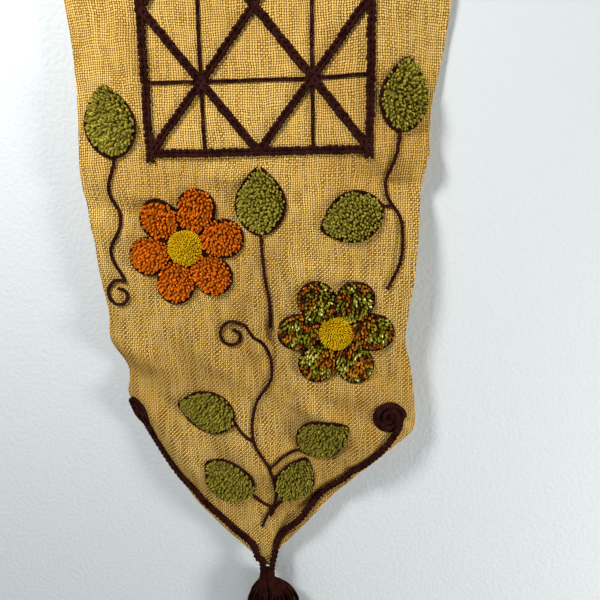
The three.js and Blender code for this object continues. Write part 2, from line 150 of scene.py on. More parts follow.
# Flowers: x, z, first petal's direction, pile
FLOWERS = {"flower_left": (-82, -465, 12, "orange"), "flower_right": (79, -560, 0, "mixed")}
PETAL = {"count": 6, "out": 39, "long": 41, "wide": 33.5}
EYE_RADIUS = 12.5

# Coils: x, z, turn, squeeze across
COILS = {"left": (-156.5, -661, 28, 0.6), "right": (139, -659, 0, 1.0)}
COIL_RADIUS = 20.5

# The braid wound in a coil, with its turns, its distance from the rim and the sizes of its strands
COIL = {
    "turns": 2.15, "edge": 2.9, "wind": 4.6, "radius": 1.5, "lay": 7.0, "plait": 13, "swing": 1.35,
    "rise": 2.7, "wave": 0.75, "crown": 1.4,
}

# Edge braid: strand radius and lay, length of one plait, how far a strand swings and rises
BRAID = {"radius": 2.15, "lay": 9.0, "plait": 17, "swing": 2.7, "rise": 2.2, "wave": 1.1}
STRANDS = 3

# How far in from the edge each braid lies: height, distance
BRAID_INSETS = {
    "left": np.array([(-600, 8), (-729, 7), (-758, 12), (-900, 10.5)]),
    "right": np.array([(-600, 12.5), (-767, 12.5), (-796, 11), (-900, 11)]),
}

# Where each braid leaves its coil and where it comes down to the slanted edge
BRAID_STARTS = {"left": [(-150.5, -671), (-146.5, -679)], "right": [(146, -664), (150, -672)]}
BRAID_TOPS = {"left": -694, "right": -700}

# Tassel outline: height below the tip, half width, half depth, how far its middle lies to the right
TASSEL = np.array([
    (0, 9.5, 4.5, 0), (9, 9.5, 6, 0), (15, 13.3, 8, 1), (22, 23, 12, 4), (34, 33, 15, 6),
    (47, 35, 15, 6), (122, 43, 18, 6),
])

# Ends of the tassel, ropes over its head, and the turn from one end to the next round the middle
TASSEL_ENDS = 190
TASSEL_ROPES = 14
GOLDEN_ANGLE = 2.39996

# How a pile's ends stand, loose in leaves and petals and dense in a flower's centre; dome sets both the
# dome's height under the ends and how dark it is painted, a painted shade
LOOSE = {"splay": 0.75, "shortest": 0.88, "tallest": 1.06, "thick": 0.61, "dome": 0.5}
DENSE = {"splay": 1.3, "shortest": 0.98, "tallest": 1.01, "thick": 0.78, "dome": 0.7}

# Scatter of a pile's ends, as shares of their spacing across and along
SCATTER = (0.13, 0.16)

# Ends and back stitches are kept within these shares of their outline
KEEP_ENDS, KEEP_STITCHES = 0.98, 0.9

# How far a pile's ends turn from their grain, and how three kinds of end bend
TURN_SPREAD = 0.22
BENDS = (0.0, 0.35, -0.45)

# Half length, half width and half height of a stitch behind the pile
PILE_STITCH = (2.3, 0.85, 0.6)

# One strand of a chain stitch: distance from the middle, forward, turn, tilt in degrees, half sizes
CHAIN = {"apart": 2.15, "forward": 0.6, "turn": 19, "tilt": 9, "half": (2.1, 4.9, 2.05)}

# Plies in a yarn, and how unevenly laid yarn rises off the cloth
PLIES = 2
YARN_WAVE = 0.25

# How far the couched yarn runs outside its leaf or petal
RING_GROWTH = 2.7

# The leaves below this height are painted darker than the rest, as painted shade low on the cloth
LOW_LEAVES = -640


def table_at(table, z, column):
    """Straight-line reading of a table at heights z."""
    return np.interp(-np.asarray(z, float), -table[:, 0], table[:, column])


def edge_at(z, side):
    """The cloth's edge at heights z, a little rounded between its measured places."""
    return sum(table_at(OUTLINE, np.asarray(z, float) + d, side) for d in (-7, 0, 7)) / 3


def profile_at(z):
    """How far the cloth stands forward at heights z before its folds."""
    z = np.asarray(z, float)
    near = sum(table_at(PROFILE, z + d, 1) for d in (-60, -30, 0, 30, 60)) / 5
    return near - np.where(z > -60, (60 + z) * 0.006, 0)


def from_edge(x, z, side):
    """Distance in from one edge, square to that edge."""
    lean = (table_at(OUTLINE, z + 12, side) - table_at(OUTLINE, z - 12, side)) / 24
    gap = x - table_at(OUTLINE, z, side)
    return (gap if side == LEFT else -gap) / np.hypot(1, lean)


def swell(x, z, rows):
    """Sum of soft ridges and troughs."""
    out = np.zeros_like(x)
    for fx, fz, high, across, along, turn in rows:
        c, s = math.cos(math.radians(turn)), math.sin(math.radians(turn))
        a = (c * (x - fx) + s * (z - fz)) / across
        b = (-s * (x - fx) + c * (z - fz)) / along
        out += high * np.exp(-a * a - b * b)
    return out


def depth(x, z):
    """How far the cloth's front stands forward at a place."""
    x, z = np.asarray(x, float), np.asarray(z, float)
    out = profile_at(z) + 2.2 * np.sin((x + 20) / 30 + z / 240) * np.minimum(1, -z / 300)
    out = out + swell(x, z, FOLDS) + PUCKER_HEIGHT * swell(x, z, PUCKERS)
    for side, at, along, wide, back in CURLS:
        inside = np.maximum(0, 1 - np.maximum(0, from_edge(x, z, side)) / wide)
        out -= back * inside**2 * np.exp(-(((z - at) / along) ** 2))
    slack = np.minimum(1, -z / 200)
    ripple = sum(high * np.sin(x / across + z / along + phase) for high, across, along, phase in RIPPLES)
    return out + slack * ripple


def cloth_normal(x, z):
    """Direction square to the cloth's front at a place."""
    e = 1.5
    dx = (depth(x + e, z) - depth(x - e, z)) / (2 * e)
    dz = (depth(x, z + e) - depth(x, z - e)) / (2 * e)
    n = np.stack([-dx, -np.ones_like(dx), -dz], -1)
    return n / np.linalg.norm(n, axis=-1, keepdims=True)


def lift(x, z, up):
    """Points on the cloth, lifted square to its front."""
    x, z = np.asarray(x, float), np.asarray(z, float)
    at = np.stack([x, -depth(x, z), z], -1)
    return at + cloth_normal(x, z) * np.asarray(up, float)[..., None]


# Small shapes and their joined copies


def arrays_of(bm):
    """A bmesh as points, loops and face starts."""
    bm.verts.index_update()
    points = np.array([v.co[:] for v in bm.verts])
    loops = np.array([v.index for f in bm.faces for v in f.verts])
    sizes = np.array([len(f.verts) for f in bm.faces])
    bm.free()
    return points, loops, np.concatenate([[0], np.cumsum(sizes)[:-1]])


class Assembly:
    """Collects shapes for one piece, in millimetres, each point with a colour."""

    def __init__(self):
        self.parts = []

    def add(self, shape, colour=(1, 1, 1)):
        """Takes one shape in a single colour."""
        points, loops, starts = shape
        colours = np.broadcast_to(np.asarray(colour, float), (len(points), 3))
        self.parts.append((points, loops, starts, colours))

    def add_copies(self, shape, places, offsets, colours):
        """Takes many copies; places are 3 by 3 matrices, colours one per copy or per copy's point."""
        points, loops, starts = shape
        count, n = len(places), len(points)
        moved = np.einsum("kij,nj->kni", places, points) + offsets[:, None, :]
        colours = np.asarray(colours, float)
        if colours.ndim == 2:
            colours = np.repeat(colours[:, None, :], n, 1)
        step = np.arange(count)[:, None]
        self.parts.append((
            moved.reshape(-1, 3),
            (loops[None, :] + step * n).ravel(),
            (starts[None, :] + step * len(loops)).ravel(),
            colours.reshape(-1, 3),
        ))

    def build(self, name, material):
        """Makes the piece from all shapes, its colours in the attribute tint."""
        first, base = 0, 0
        loops, starts = [], []
        for points, part_loops, part_starts, _ in self.parts:
            loops.append(part_loops + first)
            starts.append(part_starts + base)
            first += len(points)
            base += len(part_loops)
        points = np.concatenate([p[0] for p in self.parts]) * MM
        loops, starts = np.concatenate(loops), np.concatenate(starts)
        colours = np.concatenate([p[3] for p in self.parts])
        mesh = bpy.data.meshes.new(name)
        mesh.vertices.add(len(points))
        mesh.vertices.foreach_set("co", points.astype(np.float32).ravel())
        mesh.loops.add(len(loops))
        mesh.loops.foreach_set("vertex_index", loops.astype(np.int32))
        mesh.polygons.add(len(starts))
        mesh.polygons.foreach_set("loop_start", starts.astype(np.int32))
        mesh.update(calc_edges=True)
        mesh.polygons.foreach_set("use_smooth", np.full(len(starts), True))
        tint = mesh.color_attributes.new("tint", "FLOAT_COLOR", "POINT")
        tint.data.foreach_set("color", np.c_[colours, np.ones(len(colours))].astype(np.float32).ravel())
        mesh.validate()
        mesh.materials.append(material)
        piece = bpy.data.objects.new(name, mesh)
        bpy.context.collection.objects.link(piece)
        return piece


def carried(piece, *nodes, slot):
    """A piece that rides with the hanging and stands for CAD nodes."""
    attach(piece, "root")
    if nodes:
        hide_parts(*nodes)
    return piece


# Paths and twisted yarn


def smooth_path(points, step, closed=False):
    """Evenly spaced points on a smooth curve through the given ones."""
    p = np.array(points, float)
    if closed:
        p = np.concatenate([p[-1:], p, p[:2]])
    else:
        p = np.concatenate([2 * p[:1] - p[1:2], p, 2 * p[-1:] - p[-2:-1]])
    t = np.linspace(0, 1, 24, endpoint=False)[:, None]
    runs = []
    for a, b, c, d in zip(p, p[1:], p[2:], p[3:]):
        square = (2 * a - 5 * b + 4 * c - d) * t**2
        cube = (3 * b - a - 3 * c + d) * t**3
        runs.append(0.5 * (2 * b + (c - a) * t + square + cube))
    fine = np.concatenate(runs + [p[-2:-1]])
    return even_path(fine, step)


def even_path(fine, step):
    """Points at even steps along a line of fine points."""
    s = np.concatenate([[0], np.cumsum(np.linalg.norm(np.diff(fine, axis=0), axis=1))])
    count = max(2, int(round(s[-1] / step)))
    at = np.linspace(0, s[-1], count + 1)
    return np.stack([np.interp(at, s, fine[:, k]) for k in range(fine.shape[1])], -1)


def yarn_profile(radius, sides):
    """Section of a plied yarn, as a small closed curve."""
    curve = bpy.data.curves.new("ply_section", "CURVE")
    curve.dimensions = "2D"
    spline = curve.splines.new("POLY")
    spline.points.add(sides - 1)
    for k, point in enumerate(spline.points):
        a = 2 * math.pi * k / sides
        r = radius * (0.88 + 0.12 * math.cos(PLIES * a))
        point.co = (r * math.cos(a), r * math.sin(a), 0, 1)
    spline.use_cyclic_u = True
    section = bpy.data.objects.new("ply_section", curve)
    bpy.context.collection.objects.link(section)
    return section


def yarn_shape(runs, radius, lay, sides=10):
    """Twisted yarn swept along runs of points; a run is (points, closed)."""
    section = yarn_profile(radius, sides)
    curve = bpy.data.curves.new("yarn_runs", "CURVE")
    curve.dimensions = "3D"
    curve.bevel_mode = "OBJECT"
    curve.bevel_object = section
    curve.use_fill_caps = True
    for points, closed in runs:
        spline = curve.splines.new("POLY")
        if closed:
            points = points[:-1]
        spline.points.add(len(points) - 1)
        spline.points.foreach_set("co", np.c_[points, np.ones(len(points))].astype(np.float32).ravel())
        s = np.concatenate([[0], np.cumsum(np.linalg.norm(np.diff(points, axis=0), axis=1))])
        turns = max(1, round(s[-1] / lay)) if closed else s[-1] / lay
        spline.points.foreach_set("tilt", (2 * math.pi * turns * s / max(s[-1], 1e-6)).astype(np.float32))
        spline.use_cyclic_u = closed
    holder = bpy.data.objects.new("yarn_runs", curve)
    bpy.context.collection.objects.link(holder)
    bpy.context.view_layer.update()
    seen = holder.evaluated_get(bpy.context.evaluated_depsgraph_get())
    mesh = bpy.data.meshes.new_from_object(seen)
    points = np.empty(len(mesh.vertices) * 3)
    mesh.vertices.foreach_get("co", points)
    loops = np.empty(len(mesh.loops), int)
    mesh.loops.foreach_get("vertex_index", loops)
    starts = np.empty(len(mesh.polygons), int)
    mesh.polygons.foreach_get("loop_start", starts)
    for thing in (holder, section):
        data = thing.data
        bpy.data.objects.remove(thing)
        bpy.data.curves.remove(data)
    bpy.data.meshes.remove(mesh)
    return points.reshape(-1, 3), loops, starts


def frames_on_cloth(path, up):
    """Places, across, along and out directions for shapes set along a path on the cloth."""
    at = lift(path[:, 0], path[:, 1], up)
    out = cloth_normal(path[:, 0], path[:, 1])
    along = np.gradient(at, axis=0)
    along /= np.linalg.norm(along, axis=1, keepdims=True)
    across = np.cross(along, out)
    across /= np.linalg.norm(across, axis=1, keepdims=True)
    return at, across, along, out


def laid_run(points, up, step=1.3, closed=False):
    """A run of yarn that lies on the cloth."""
    path = smooth_path(points, step, closed)
    s = np.arange(len(path)) * step
    rise = up + YARN_WAVE * np.sin(s / 5.3) + 0.6 * YARN_WAVE * np.sin(s / 2.9 + 1)
    return lift(path[:, 0], path[:, 1], rise), closed


def back_runs(points, stitch=6.5, gap=3.5):
    """Short runs of yarn on the cloth's back, one for each stitch along a path."""
    spots = even_path(smooth_path(points, 1.3), stitch + gap)
    share = np.array([0, 0.2, 0.5, 0.8, 1]) * stitch / (stitch + gap)
    up = np.array([-0.6, -1.35, -1.5, -1.35, -0.6])
    runs = []
    for a, b in zip(spots, spots[1:]):
        reach = a + (b - a) * share[:, None]
        runs.append((lift(reach[:, 0], reach[:, 1], up), False))
    return runs


def back_shape(runs):
    """Thin yarn of the stitches on the back."""
    return yarn_shape(runs, 0.8, 5.0, 6)


def leaf_bluntness(angle):
    """How full a leaf is round its outline, its tip at no angle."""
    tip = ((1 + np.cos(angle)) / 2) ** 6
    return 1 - 0.16 * np.cos(angle) - 0.1 * np.cos(2 * angle) - 0.35 * tip


def petal_bluntness(angle):
    """How full a petal is round its outline."""
    return 1 + 0.1 * np.cos(angle)


def outline_points(x, z, long, wide, turn, bluntness, angle, grow=0.0, share=1.0):
    """Points of a leaf or petal outline, grown by an amount."""
    u = (long / 2 + grow) * np.cos(angle) * share
    v = (wide / 2 + grow) * np.sin(angle) * bluntness(angle) * share
    c, s = math.cos(math.radians(turn)), math.sin(math.radians(turn))
    return np.stack([x + c * u - s * v, z + s * u + c * v], -1)


# Cut pile


def tuft_shape(bend):
    """One cut yarn end, one unit high, blunt at the tip and a little bent."""
    bm = bmesh.new()
    bmesh.ops.create_uvsphere(bm, u_segments=6, v_segments=5, radius=1)
    for v in bm.verts:
        z = math.copysign(abs(v.co.z) ** 0.8, v.co.z) * 0.5 + 0.5
        v.co = (v.co.x * (0.75 + 0.3 * z) + bend * z * z, v.co.y * (0.75 + 0.3 * z), z)
    return arrays_of(bm)


def back_stitch():
    """One short stitch of a pile's back, as a long soft grain of unit radius."""
    bm = bmesh.new()
    bmesh.ops.create_uvsphere(bm, u_segments=6, v_segments=4, radius=1)
    return arrays_of(bm)


def dome_shape():
    """A low closed dome of unit radius."""
    bm = bmesh.new()
    profile = [(0, 0), (1, 0), (1, 0.35), (0.86, 0.72), (0.5, 0.95), (0, 1)]
    verts = [bm.verts.new((r, 0, h)) for r, h in profile]
    edges = [bm.edges.new(pair) for pair in zip(verts, verts[1:])]
    bmesh.ops.spin(
        bm,
        geom=verts + edges,
        cent=(0, 0, 0),
        axis=(0, 0, 1),
        angle=2 * math.pi,
        steps=28,
        use_merge=True,
    )
    bmesh.ops.remove_doubles(bm, verts=bm.verts, dist=1e-4)
    bmesh.ops.recalc_face_normals(bm, faces=bm.faces)
    return arrays_of(bm)


def pile_palette(kind, pile):
    """The yarn colours of a pile, each with its share."""
    if kind == "mixed":
        return [
            (pile.mixed_pale, 0.5), (pile.mixed_olive, 2.2), (pile.mixed_green, 2.8),
            (pile.mixed_brown, 2.6), (pile.mixed_rust, 1.9), (pile.mixed_ochre, 0.9),
        ]
    colour = {"green": pile.green, "orange": pile.orange, "yellow": pile.yellow}[kind]
    return [(colour, 1.0)]


def pile_patch(assembly, outline, bluntness, kind, pile, high, rng, lean, dense=False, painted_shade_factor=1.0):
    """Fills an outline (x, z, long, wide, turn) with cut yarn ends that stand on a low dome, each end
    painted darker towards its root as painted shade between the ends.
    """
    ends = DENSE if dense else LOOSE
    x, z, long, wide, turn = outline
    spacing = (pile.eye_spacing if dense else pile.spacing) / MM
    stretch = 1.0 if dense else pile.stretch
    a, b = long / 2, wide / 2
    grain = math.radians(90 + pile.grain * (1 if lean[0] < 0 else -1))
    gc, gs = math.cos(grain), math.sin(grain)
    reach = int(max(a, b) / spacing) + 3
    step = np.arange(-reach, reach + 1)
    across, along = np.meshgrid(step * spacing, step * spacing * stretch)
    along = along + (step[None, :] % 2) * spacing * stretch / 2
    across, along = across.ravel(), along.ravel()
    across = across + rng.normal(0, spacing * SCATTER[0], len(across))
    along = along + rng.normal(0, spacing * SCATTER[1] * stretch, len(along))
    dx, dz = gc * along + gs * across, gs * along - gc * across
    c, s = math.cos(math.radians(turn)), math.sin(math.radians(turn))
    p, q = c * dx + s * dz, -s * dx + c * dz
    first = np.arctan2(q / b, p / a)
    angle = np.arctan2(q / (b * bluntness(first)), p / a)
    share = np.hypot(p / a, q / (b * bluntness(angle)))
    keep = share < KEEP_ENDS
    p, q, share = p[keep], q[keep], share[keep]
    count = len(p)
    px, pz = x + c * p - s * q, z + s * p + c * q
    out = cloth_normal(px, pz)
    side = np.stack([c * p / a - s * q / b, np.zeros(count), s * p / a + c * q / b], -1)
    drift = np.array([lean[0], 0, lean[1]])
    unrest = 0.04 if dense else pile.unrest
    aim = out + side * (ends["splay"] * share**1.6)[:, None] + drift
    aim += rng.normal(0, unrest, (count, 3)) * (1, 0.3, 1)
    aim /= np.linalg.norm(aim, axis=1, keepdims=True)
    crown = np.sqrt(1 - 0.62 * share**2) if dense else 1 - 0.42 * share**2.4
    tall = high * crown * rng.uniform(ends["shortest"], ends["tallest"], count)
    sway = high * 0.45
    foot = lift(px - lean[0] * sway, pz - lean[1] * sway, 0.4)
    turned = grain + rng.normal(0, TURN_SPREAD, count)
    grain_way = np.stack([np.cos(turned), np.zeros(count), np.sin(turned)], -1)
    u = np.cross(grain_way, aim)
    u /= np.linalg.norm(u, axis=1, keepdims=True)
    v = np.cross(aim, u)
    thick = spacing * ends["thick"] * rng.uniform(0.88, 1.12, count)
    long_way = thick * (1.0 if dense else 1 + 0.62 * (stretch - 1)) * rng.uniform(0.9, 1.1, count)
    palette = pile_palette(kind, pile)
    weights = np.array([w for _, w in palette]) / sum(w for _, w in palette)
    colours = np.array([list(k) for k, _ in palette])
    patch = 0.5 + 0.5 * np.sin(px / 5.6 + 2.4 * np.sin(pz / 7.7 + x) + 1.2 * np.sin(px / 3.1 - pz / 5.9))
    patch = np.clip(patch * 0.86 + rng.normal(0.07, 0.1, count), 0, 0.999)
    chosen = np.searchsorted(np.cumsum(weights), patch)
    base = colours[np.clip(chosen, 0, len(colours) - 1)]
    unlike = {"green": 1.25, "yellow": 0.3}.get(kind, 0.95)
    root = np.array(pile.painted_green_root_shade if kind == "green" else pile.painted_root_shade)[None, :]
    # The factor darkens the whole patch: painted shade
    tone = painted_shade_factor * rng.lognormal(0, pile.variation * unlike, count)
    places = np.stack([u * thick[:, None], v * long_way[:, None], aim * tall[:, None]], -1)
    kinds = rng.integers(0, len(BENDS), count)
    for k, bend in enumerate(BENDS):
        mine = kinds == k
        shape = tuft_shape(bend)
        rise = np.clip(shape[0][:, 2], 0, 1)
        # Painted shade between the ends: each end is darker at its root and a little lighter at its tip
        shade = root + (1.04 - root) * rise[:, None] ** 1.4
        warm = base[mine][:, None, :] * tone[mine][:, None, None] * shade[None, :, :]
        assembly.add_copies(shape, places[mine], foot[mine], warm)
    flat_way = grain_way - out * np.sum(grain_way * out, axis=1, keepdims=True)
    half_long, half_wide, half_high = PILE_STITCH
    sewn = np.stack([flat_way * half_long, np.cross(out, flat_way) * half_wide, out * half_high], -1)
    behind = lift(px, pz, -1.4)
    inside = share < KEEP_STITCHES
    assembly.add_copies(back_stitch(), sewn[inside][::2], behind[inside][::2], (base * 0.85)[inside][::2])
    dome = dome_shape()
    ring = np.arctan2(dome[0][:, 1], dome[0][:, 0])
    spread = np.hypot(dome[0][:, 0], dome[0][:, 1])
    spot = outline_points(x, z, long, wide, turn, bluntness, ring, 0, spread)
    under = lift(spot[:, 0], spot[:, 1], 0.2 + dome[0][:, 2] * high * ends["dome"])
    # The dome is painted darker by its share: painted shade under the ends
    assembly.add((under, dome[1], dome[2]), colours[len(colours) // 2] * ends["dome"])


# Materials


class Nodes:
    """Short calls for a material's nodes."""

    def __init__(self, name):
        self.material = bpy.data.materials.new(name)
        self.material.use_nodes = True
        self.tree = self.material.node_tree
        self.tree.nodes.clear()
        self.out = self.tree.nodes.new("ShaderNodeOutputMaterial")

    def put(self, kind, inputs=None, **settings):
        """Adds a node with its settings and inputs."""
        node = self.tree.nodes.new(kind)
        for key, value in settings.items():
            setattr(node, key, value)
        for key, value in (inputs or {}).items():
            self.feed(node.inputs[key], value)
        return node

    def feed(self, socket, value):
        """Links a node or an output to a socket, or sets its value."""
        if hasattr(value, "links"):
            self.tree.links.new(value, socket)
        elif hasattr(value, "outputs"):
            self.tree.links.new(value.outputs[0], socket)
        else:
            socket.default_value = value

    def math(self, operation, a, b=0.0, c=None):
        """Adds one step of arithmetic and gives its output."""
        node = self.tree.nodes.new("ShaderNodeMath")
        node.operation = operation
        self.feed(node.inputs[0], a)
        self.feed(node.inputs[1], b)
        if c is not None:
            self.feed(node.inputs[2], c)
        return node.outputs[0]

    def mix(self, factor, a, b, blend="MIX"):
        """Mixes two colours and gives the output."""
        node = self.tree.nodes.new("ShaderNodeMix")
        node.data_type = "RGBA"
        node.blend_type = blend
        self.feed(node.inputs[0], factor)
        self.feed(node.inputs[6], a)
        self.feed(node.inputs[7], b)
        return node.outputs[2]

    def between(self, value, low, high, to_low=0.0, to_high=1.0):
        """Goes smoothly from to_low to to_high while the value goes from low to high."""
        node = self.tree.nodes.new("ShaderNodeMapRange")
        node.interpolation_type = "SMOOTHSTEP"
        for k, v in enumerate((value, low, high, to_low, to_high)):
            self.feed(node.inputs[k], v)
        return node.outputs[0]

    def finish(self, colour, roughness, normal, specular=0.1):
        """Links a matt shader to the output and gives the material."""
        shader = self.put("ShaderNodeBsdfPrincipled")
        self.feed(shader.inputs["Base Color"], colour)
        self.feed(shader.inputs["Roughness"], roughness)
        shader.inputs["Specular IOR Level"].default_value = specular
        self.feed(shader.inputs["Normal"], normal)
        self.tree.links.new(shader.outputs[0], self.out.inputs[0])
        return self.material


def rgba(colour):
    """A colour with full alpha."""
    return (*colour, 1.0)


def burlap_material(cloth):
    """Plain weave with uneven threads and drifting tone, coloured by its height: painted shade in the gaps
    and low places, painted highlight on the crowns.
    """
    n = Nodes("burlap_weave")
    uv = n.put("ShaderNodeUVMap", uv_map="threads")
    drift = n.put("ShaderNodeTexNoise", {"Vector": uv, "Scale": 13.0, "Detail": 2.0}, noise_dimensions="2D")
    grey = (0.5, 0.5, 0.5)
    sway = n.put("ShaderNodeVectorMath", {0: drift.outputs["Color"], 1: grey}, operation="SUBTRACT")
    sway = n.put("ShaderNodeVectorMath", {0: sway, "Scale": 0.008}, operation="SCALE")
    moved = n.put("ShaderNodeVectorMath", {0: uv, 1: sway}, operation="ADD")
    tug = n.put("ShaderNodeTexNoise", {"Vector": uv, "Scale": 75.0, "Detail": 1.0}, noise_dimensions="2D")
    tug = n.put("ShaderNodeVectorMath", {0: tug.outputs["Color"], 1: grey}, operation="SUBTRACT")
    tug = n.put("ShaderNodeVectorMath", {0: tug, "Scale": 0.0022}, operation="SCALE")
    moved = n.put("ShaderNodeVectorMath", {0: moved, 1: tug}, operation="ADD")
    split = n.put("ShaderNodeSeparateXYZ", {0: moved})
    u = n.math("DIVIDE", split.outputs[0], cloth.thread)
    v = n.math("DIVIDE", split.outputs[1], cloth.thread)
    # The weave is slack at and below the first height, in metres, and taut above the second
    low, high = -0.62, -0.3
    lower = n.between(split.outputs[1], low, high, cloth.slant, cloth.slant * 0.25)
    slant = n.math("MULTIPLY", n.math("SUBTRACT", n.math("FRACT", v), 0.5), lower)
    su = n.math("SINE", n.math("MULTIPLY", n.math("ADD", u, slant), math.pi))
    slant = n.math("MULTIPLY", n.math("SUBTRACT", n.math("FRACT", u), 0.5), lower)
    sv = n.math("SINE", n.math("MULTIPLY", n.math("ADD", v, slant), math.pi))
    iu = n.math("FLOOR", u)
    iv = n.math("FLOOR", v)

    def thread_value(index, along, seed):
        """Tone of one thread, with slubs along it."""
        slow = n.math("MULTIPLY", along, 0.05)
        where = n.put("ShaderNodeCombineXYZ", {0: index, 1: slow, 2: seed})
        return n.put("ShaderNodeTexNoise", {"Vector": where, "Scale": 1.7, "Detail": 1.0}).outputs["Fac"]

    warp_tone = thread_value(iu, v, 3.1)
    weft_tone = thread_value(iv, u, 7.7)
    taut = n.between(split.outputs[1], low, high)
    round_off = n.math("MULTIPLY_ADD", taut, -0.2, 0.9)
    pu = n.math("POWER", n.math("ABSOLUTE", su), round_off)
    pv = n.math("POWER", n.math("ABSOLUTE", sv), round_off)
    pu = n.math("MULTIPLY", pu, n.between(warp_tone, 0.25, 0.75, 0.84, 1.1))
    pv = n.math("MULTIPLY", pv, n.between(weft_tone, 0.25, 0.75, 0.84, 1.1))
    patchy = n.put("ShaderNodeTexNoise", {"Vector": uv, "Scale": 38.0, "Detail": 2.0}, noise_dimensions="2D")
    patchy = patchy.outputs["Fac"]
    over = n.math("MULTIPLY", n.math("MULTIPLY", su, sv), 2.2)
    over = n.math("MINIMUM", n.math("MAXIMUM", over, -1.0), 1.0)
    swing = n.math("MULTIPLY", over, n.between(patchy, 0.3, 0.7, 0.36, 0.44))
    share = n.math("MULTIPLY_ADD", taut, -0.5, 1.0)
    warp_swing = n.math("MULTIPLY_ADD", swing, share, n.math("MULTIPLY_ADD", taut, -0.14, 0.8))
    warp = n.math("MULTIPLY", pu, warp_swing)
    weft_swing = n.math("SUBTRACT", n.math("MULTIPLY_ADD", taut, -0.2, 0.8), swing)
    weft = n.math("MULTIPLY", pv, weft_swing)
    height = n.math("MAXIMUM", warp, weft)
    tone = n.mix(n.between(over, -0.4, 0.4), weft_tone, warp_tone)
    wide = n.put("ShaderNodeTexNoise", {"Vector": uv, "Scale": 7.0, "Detail": 3.0}, noise_dimensions="2D")
    fine = n.put("ShaderNodeTexNoise", {"Vector": uv, "Scale": 900.0, "Detail": 2.0}, noise_dimensions="2D")
    # The colour follows the weave's height: painted shade low down and in the gaps, painted highlight on the
    # crowns
    crown = n.math("MULTIPLY_ADD", fine.outputs["Fac"], 0.36, n.math("SUBTRACT", height, 0.18))
    crown = n.math("ADD", crown, n.between(tone, 0.3, 0.7, -0.045, 0.045))
    # The upright threads are painted darker, less where the weave is taut: painted shade, their height stays
    drop = n.between(patchy, 0.35, 0.65, 0.36, cloth.warp_painted_shade)
    drop = n.math("MULTIPLY", n.between(over, -0.5, 0.5), drop)
    crown = n.math("SUBTRACT", crown, n.math("MULTIPLY", drop, n.math("MULTIPLY_ADD", taut, -0.9, 1.0)))
    light = n.mix(n.between(wide.outputs["Fac"], 0.35, 0.7, 0.0, 0.6), rgba(cloth.light), rgba(cloth.warm))
    colour = n.mix(n.between(crown, 0.35, 0.6), rgba(cloth.gap), rgba(cloth.shade))
    colour = n.mix(n.between(crown, 0.54, 0.8), colour, light)
    relief = n.math("MULTIPLY_ADD", fine.outputs["Fac"], 0.12, height)
    bump = n.put("ShaderNodeBump", {"Strength": 0.9, "Distance": 0.0011, "Height": relief})
    return n.finish(colour, 0.92, bump)


def yarn_material(name, dark, light):
    """Soft plied wool: matt, with dark and light fibre streaks."""
    n = Nodes(name)
    place = n.put("ShaderNodeTexCoord").outputs["Object"]
    noise = {"Vector": place, "Scale": 1500.0, "Detail": 3.0, "Roughness": 0.65}
    fibre = n.put("ShaderNodeTexNoise", noise)
    broad = n.put("ShaderNodeTexNoise", {"Vector": place, "Scale": 120.0, "Detail": 2.0})
    blend = n.math("MULTIPLY_ADD", broad.outputs["Fac"], 0.5, n.math("MULTIPLY", fibre.outputs["Fac"], 0.5))
    colour = n.mix(n.between(blend, 0.32, 0.68), rgba(dark), rgba(light))
    bump = n.put("ShaderNodeBump", {"Strength": 0.6, "Distance": 0.0004, "Height": fibre.outputs["Fac"]})
    return n.finish(colour, 0.95, bump, specular=0.0)


def pile_material(name):
    """Cut wool ends whose colour is carried by the mesh."""
    n = Nodes(name)
    place = n.put("ShaderNodeTexCoord").outputs["Object"]
    tint = n.put("ShaderNodeAttribute", attribute_name="tint").outputs["Color"]
    fibre = n.put("ShaderNodeTexNoise", {"Vector": place, "Scale": 1900.0, "Detail": 2.0})
    fleck = n.between(fibre.outputs["Fac"], 0.3, 0.7, 0.78, 1.24)
    grey = n.put("ShaderNodeCombineColor", {0: fleck, 1: fleck, 2: fleck})
    colour = n.mix(1.0, tint, grey, "MULTIPLY")
    bump = n.put("ShaderNodeBump", {"Strength": 0.5, "Distance": 0.0003, "Height": fibre.outputs["Fac"]})
    return n.finish(colour, 0.9, bump, specular=0.03)


# Settings


def colour_setting(name, description, default):
    return bpy.props.FloatVectorProperty(
        name=name, description=description, default=default, subtype="COLOR", size=3, min=0, max=1
    )


def length_setting(name, description, default):
    return bpy.props.FloatProperty(
        name=name, description=description, default=default, unit="LENGTH", precision=4, min=0
    )


def plain_setting(name, description, default, low=0, high=1):
    return bpy.props.FloatProperty(name=name, description=description, default=default, min=low, max=high)


def power_setting(name, description, default):
    return bpy.props.FloatProperty(name=name, description=description, default=default, unit="POWER", min=0)


class ClothSettings(bpy.types.PropertyGroup):
    """Sizes and colours of the burlap."""

    thread: length_setting("Thread pitch", "From one burlap thread to the next", 0.0024)
    thick: length_setting("Cloth thickness", "Thickness of one layer of burlap", 0.0011)
    # This darkens the colour of the upright threads only: painted shade, not a deeper lie
    warp_painted_shade: plain_setting("Warp drop", "How much deeper the upright threads lie", 0.5)
    slant: plain_setting("Slant", "How far each crown of thread slants", -0.42, -1)
    # Thread light, thread shade and gaps colour the weave by its height: painted highlight on the crowns,
    # painted shade below them and in the gaps
    light: colour_setting("Thread light", "Palest threads", (0.93, 0.63, 0.18))
    shade: colour_setting("Thread shade", "Darkest threads", (0.52, 0.276, 0.042))
    warm: colour_setting("Warm drift", "Colour that drifts over the cloth", (0.62, 0.35, 0.075))
    gap: colour_setting("Gaps", "Between the threads", (0.11, 0.042, 0.004))


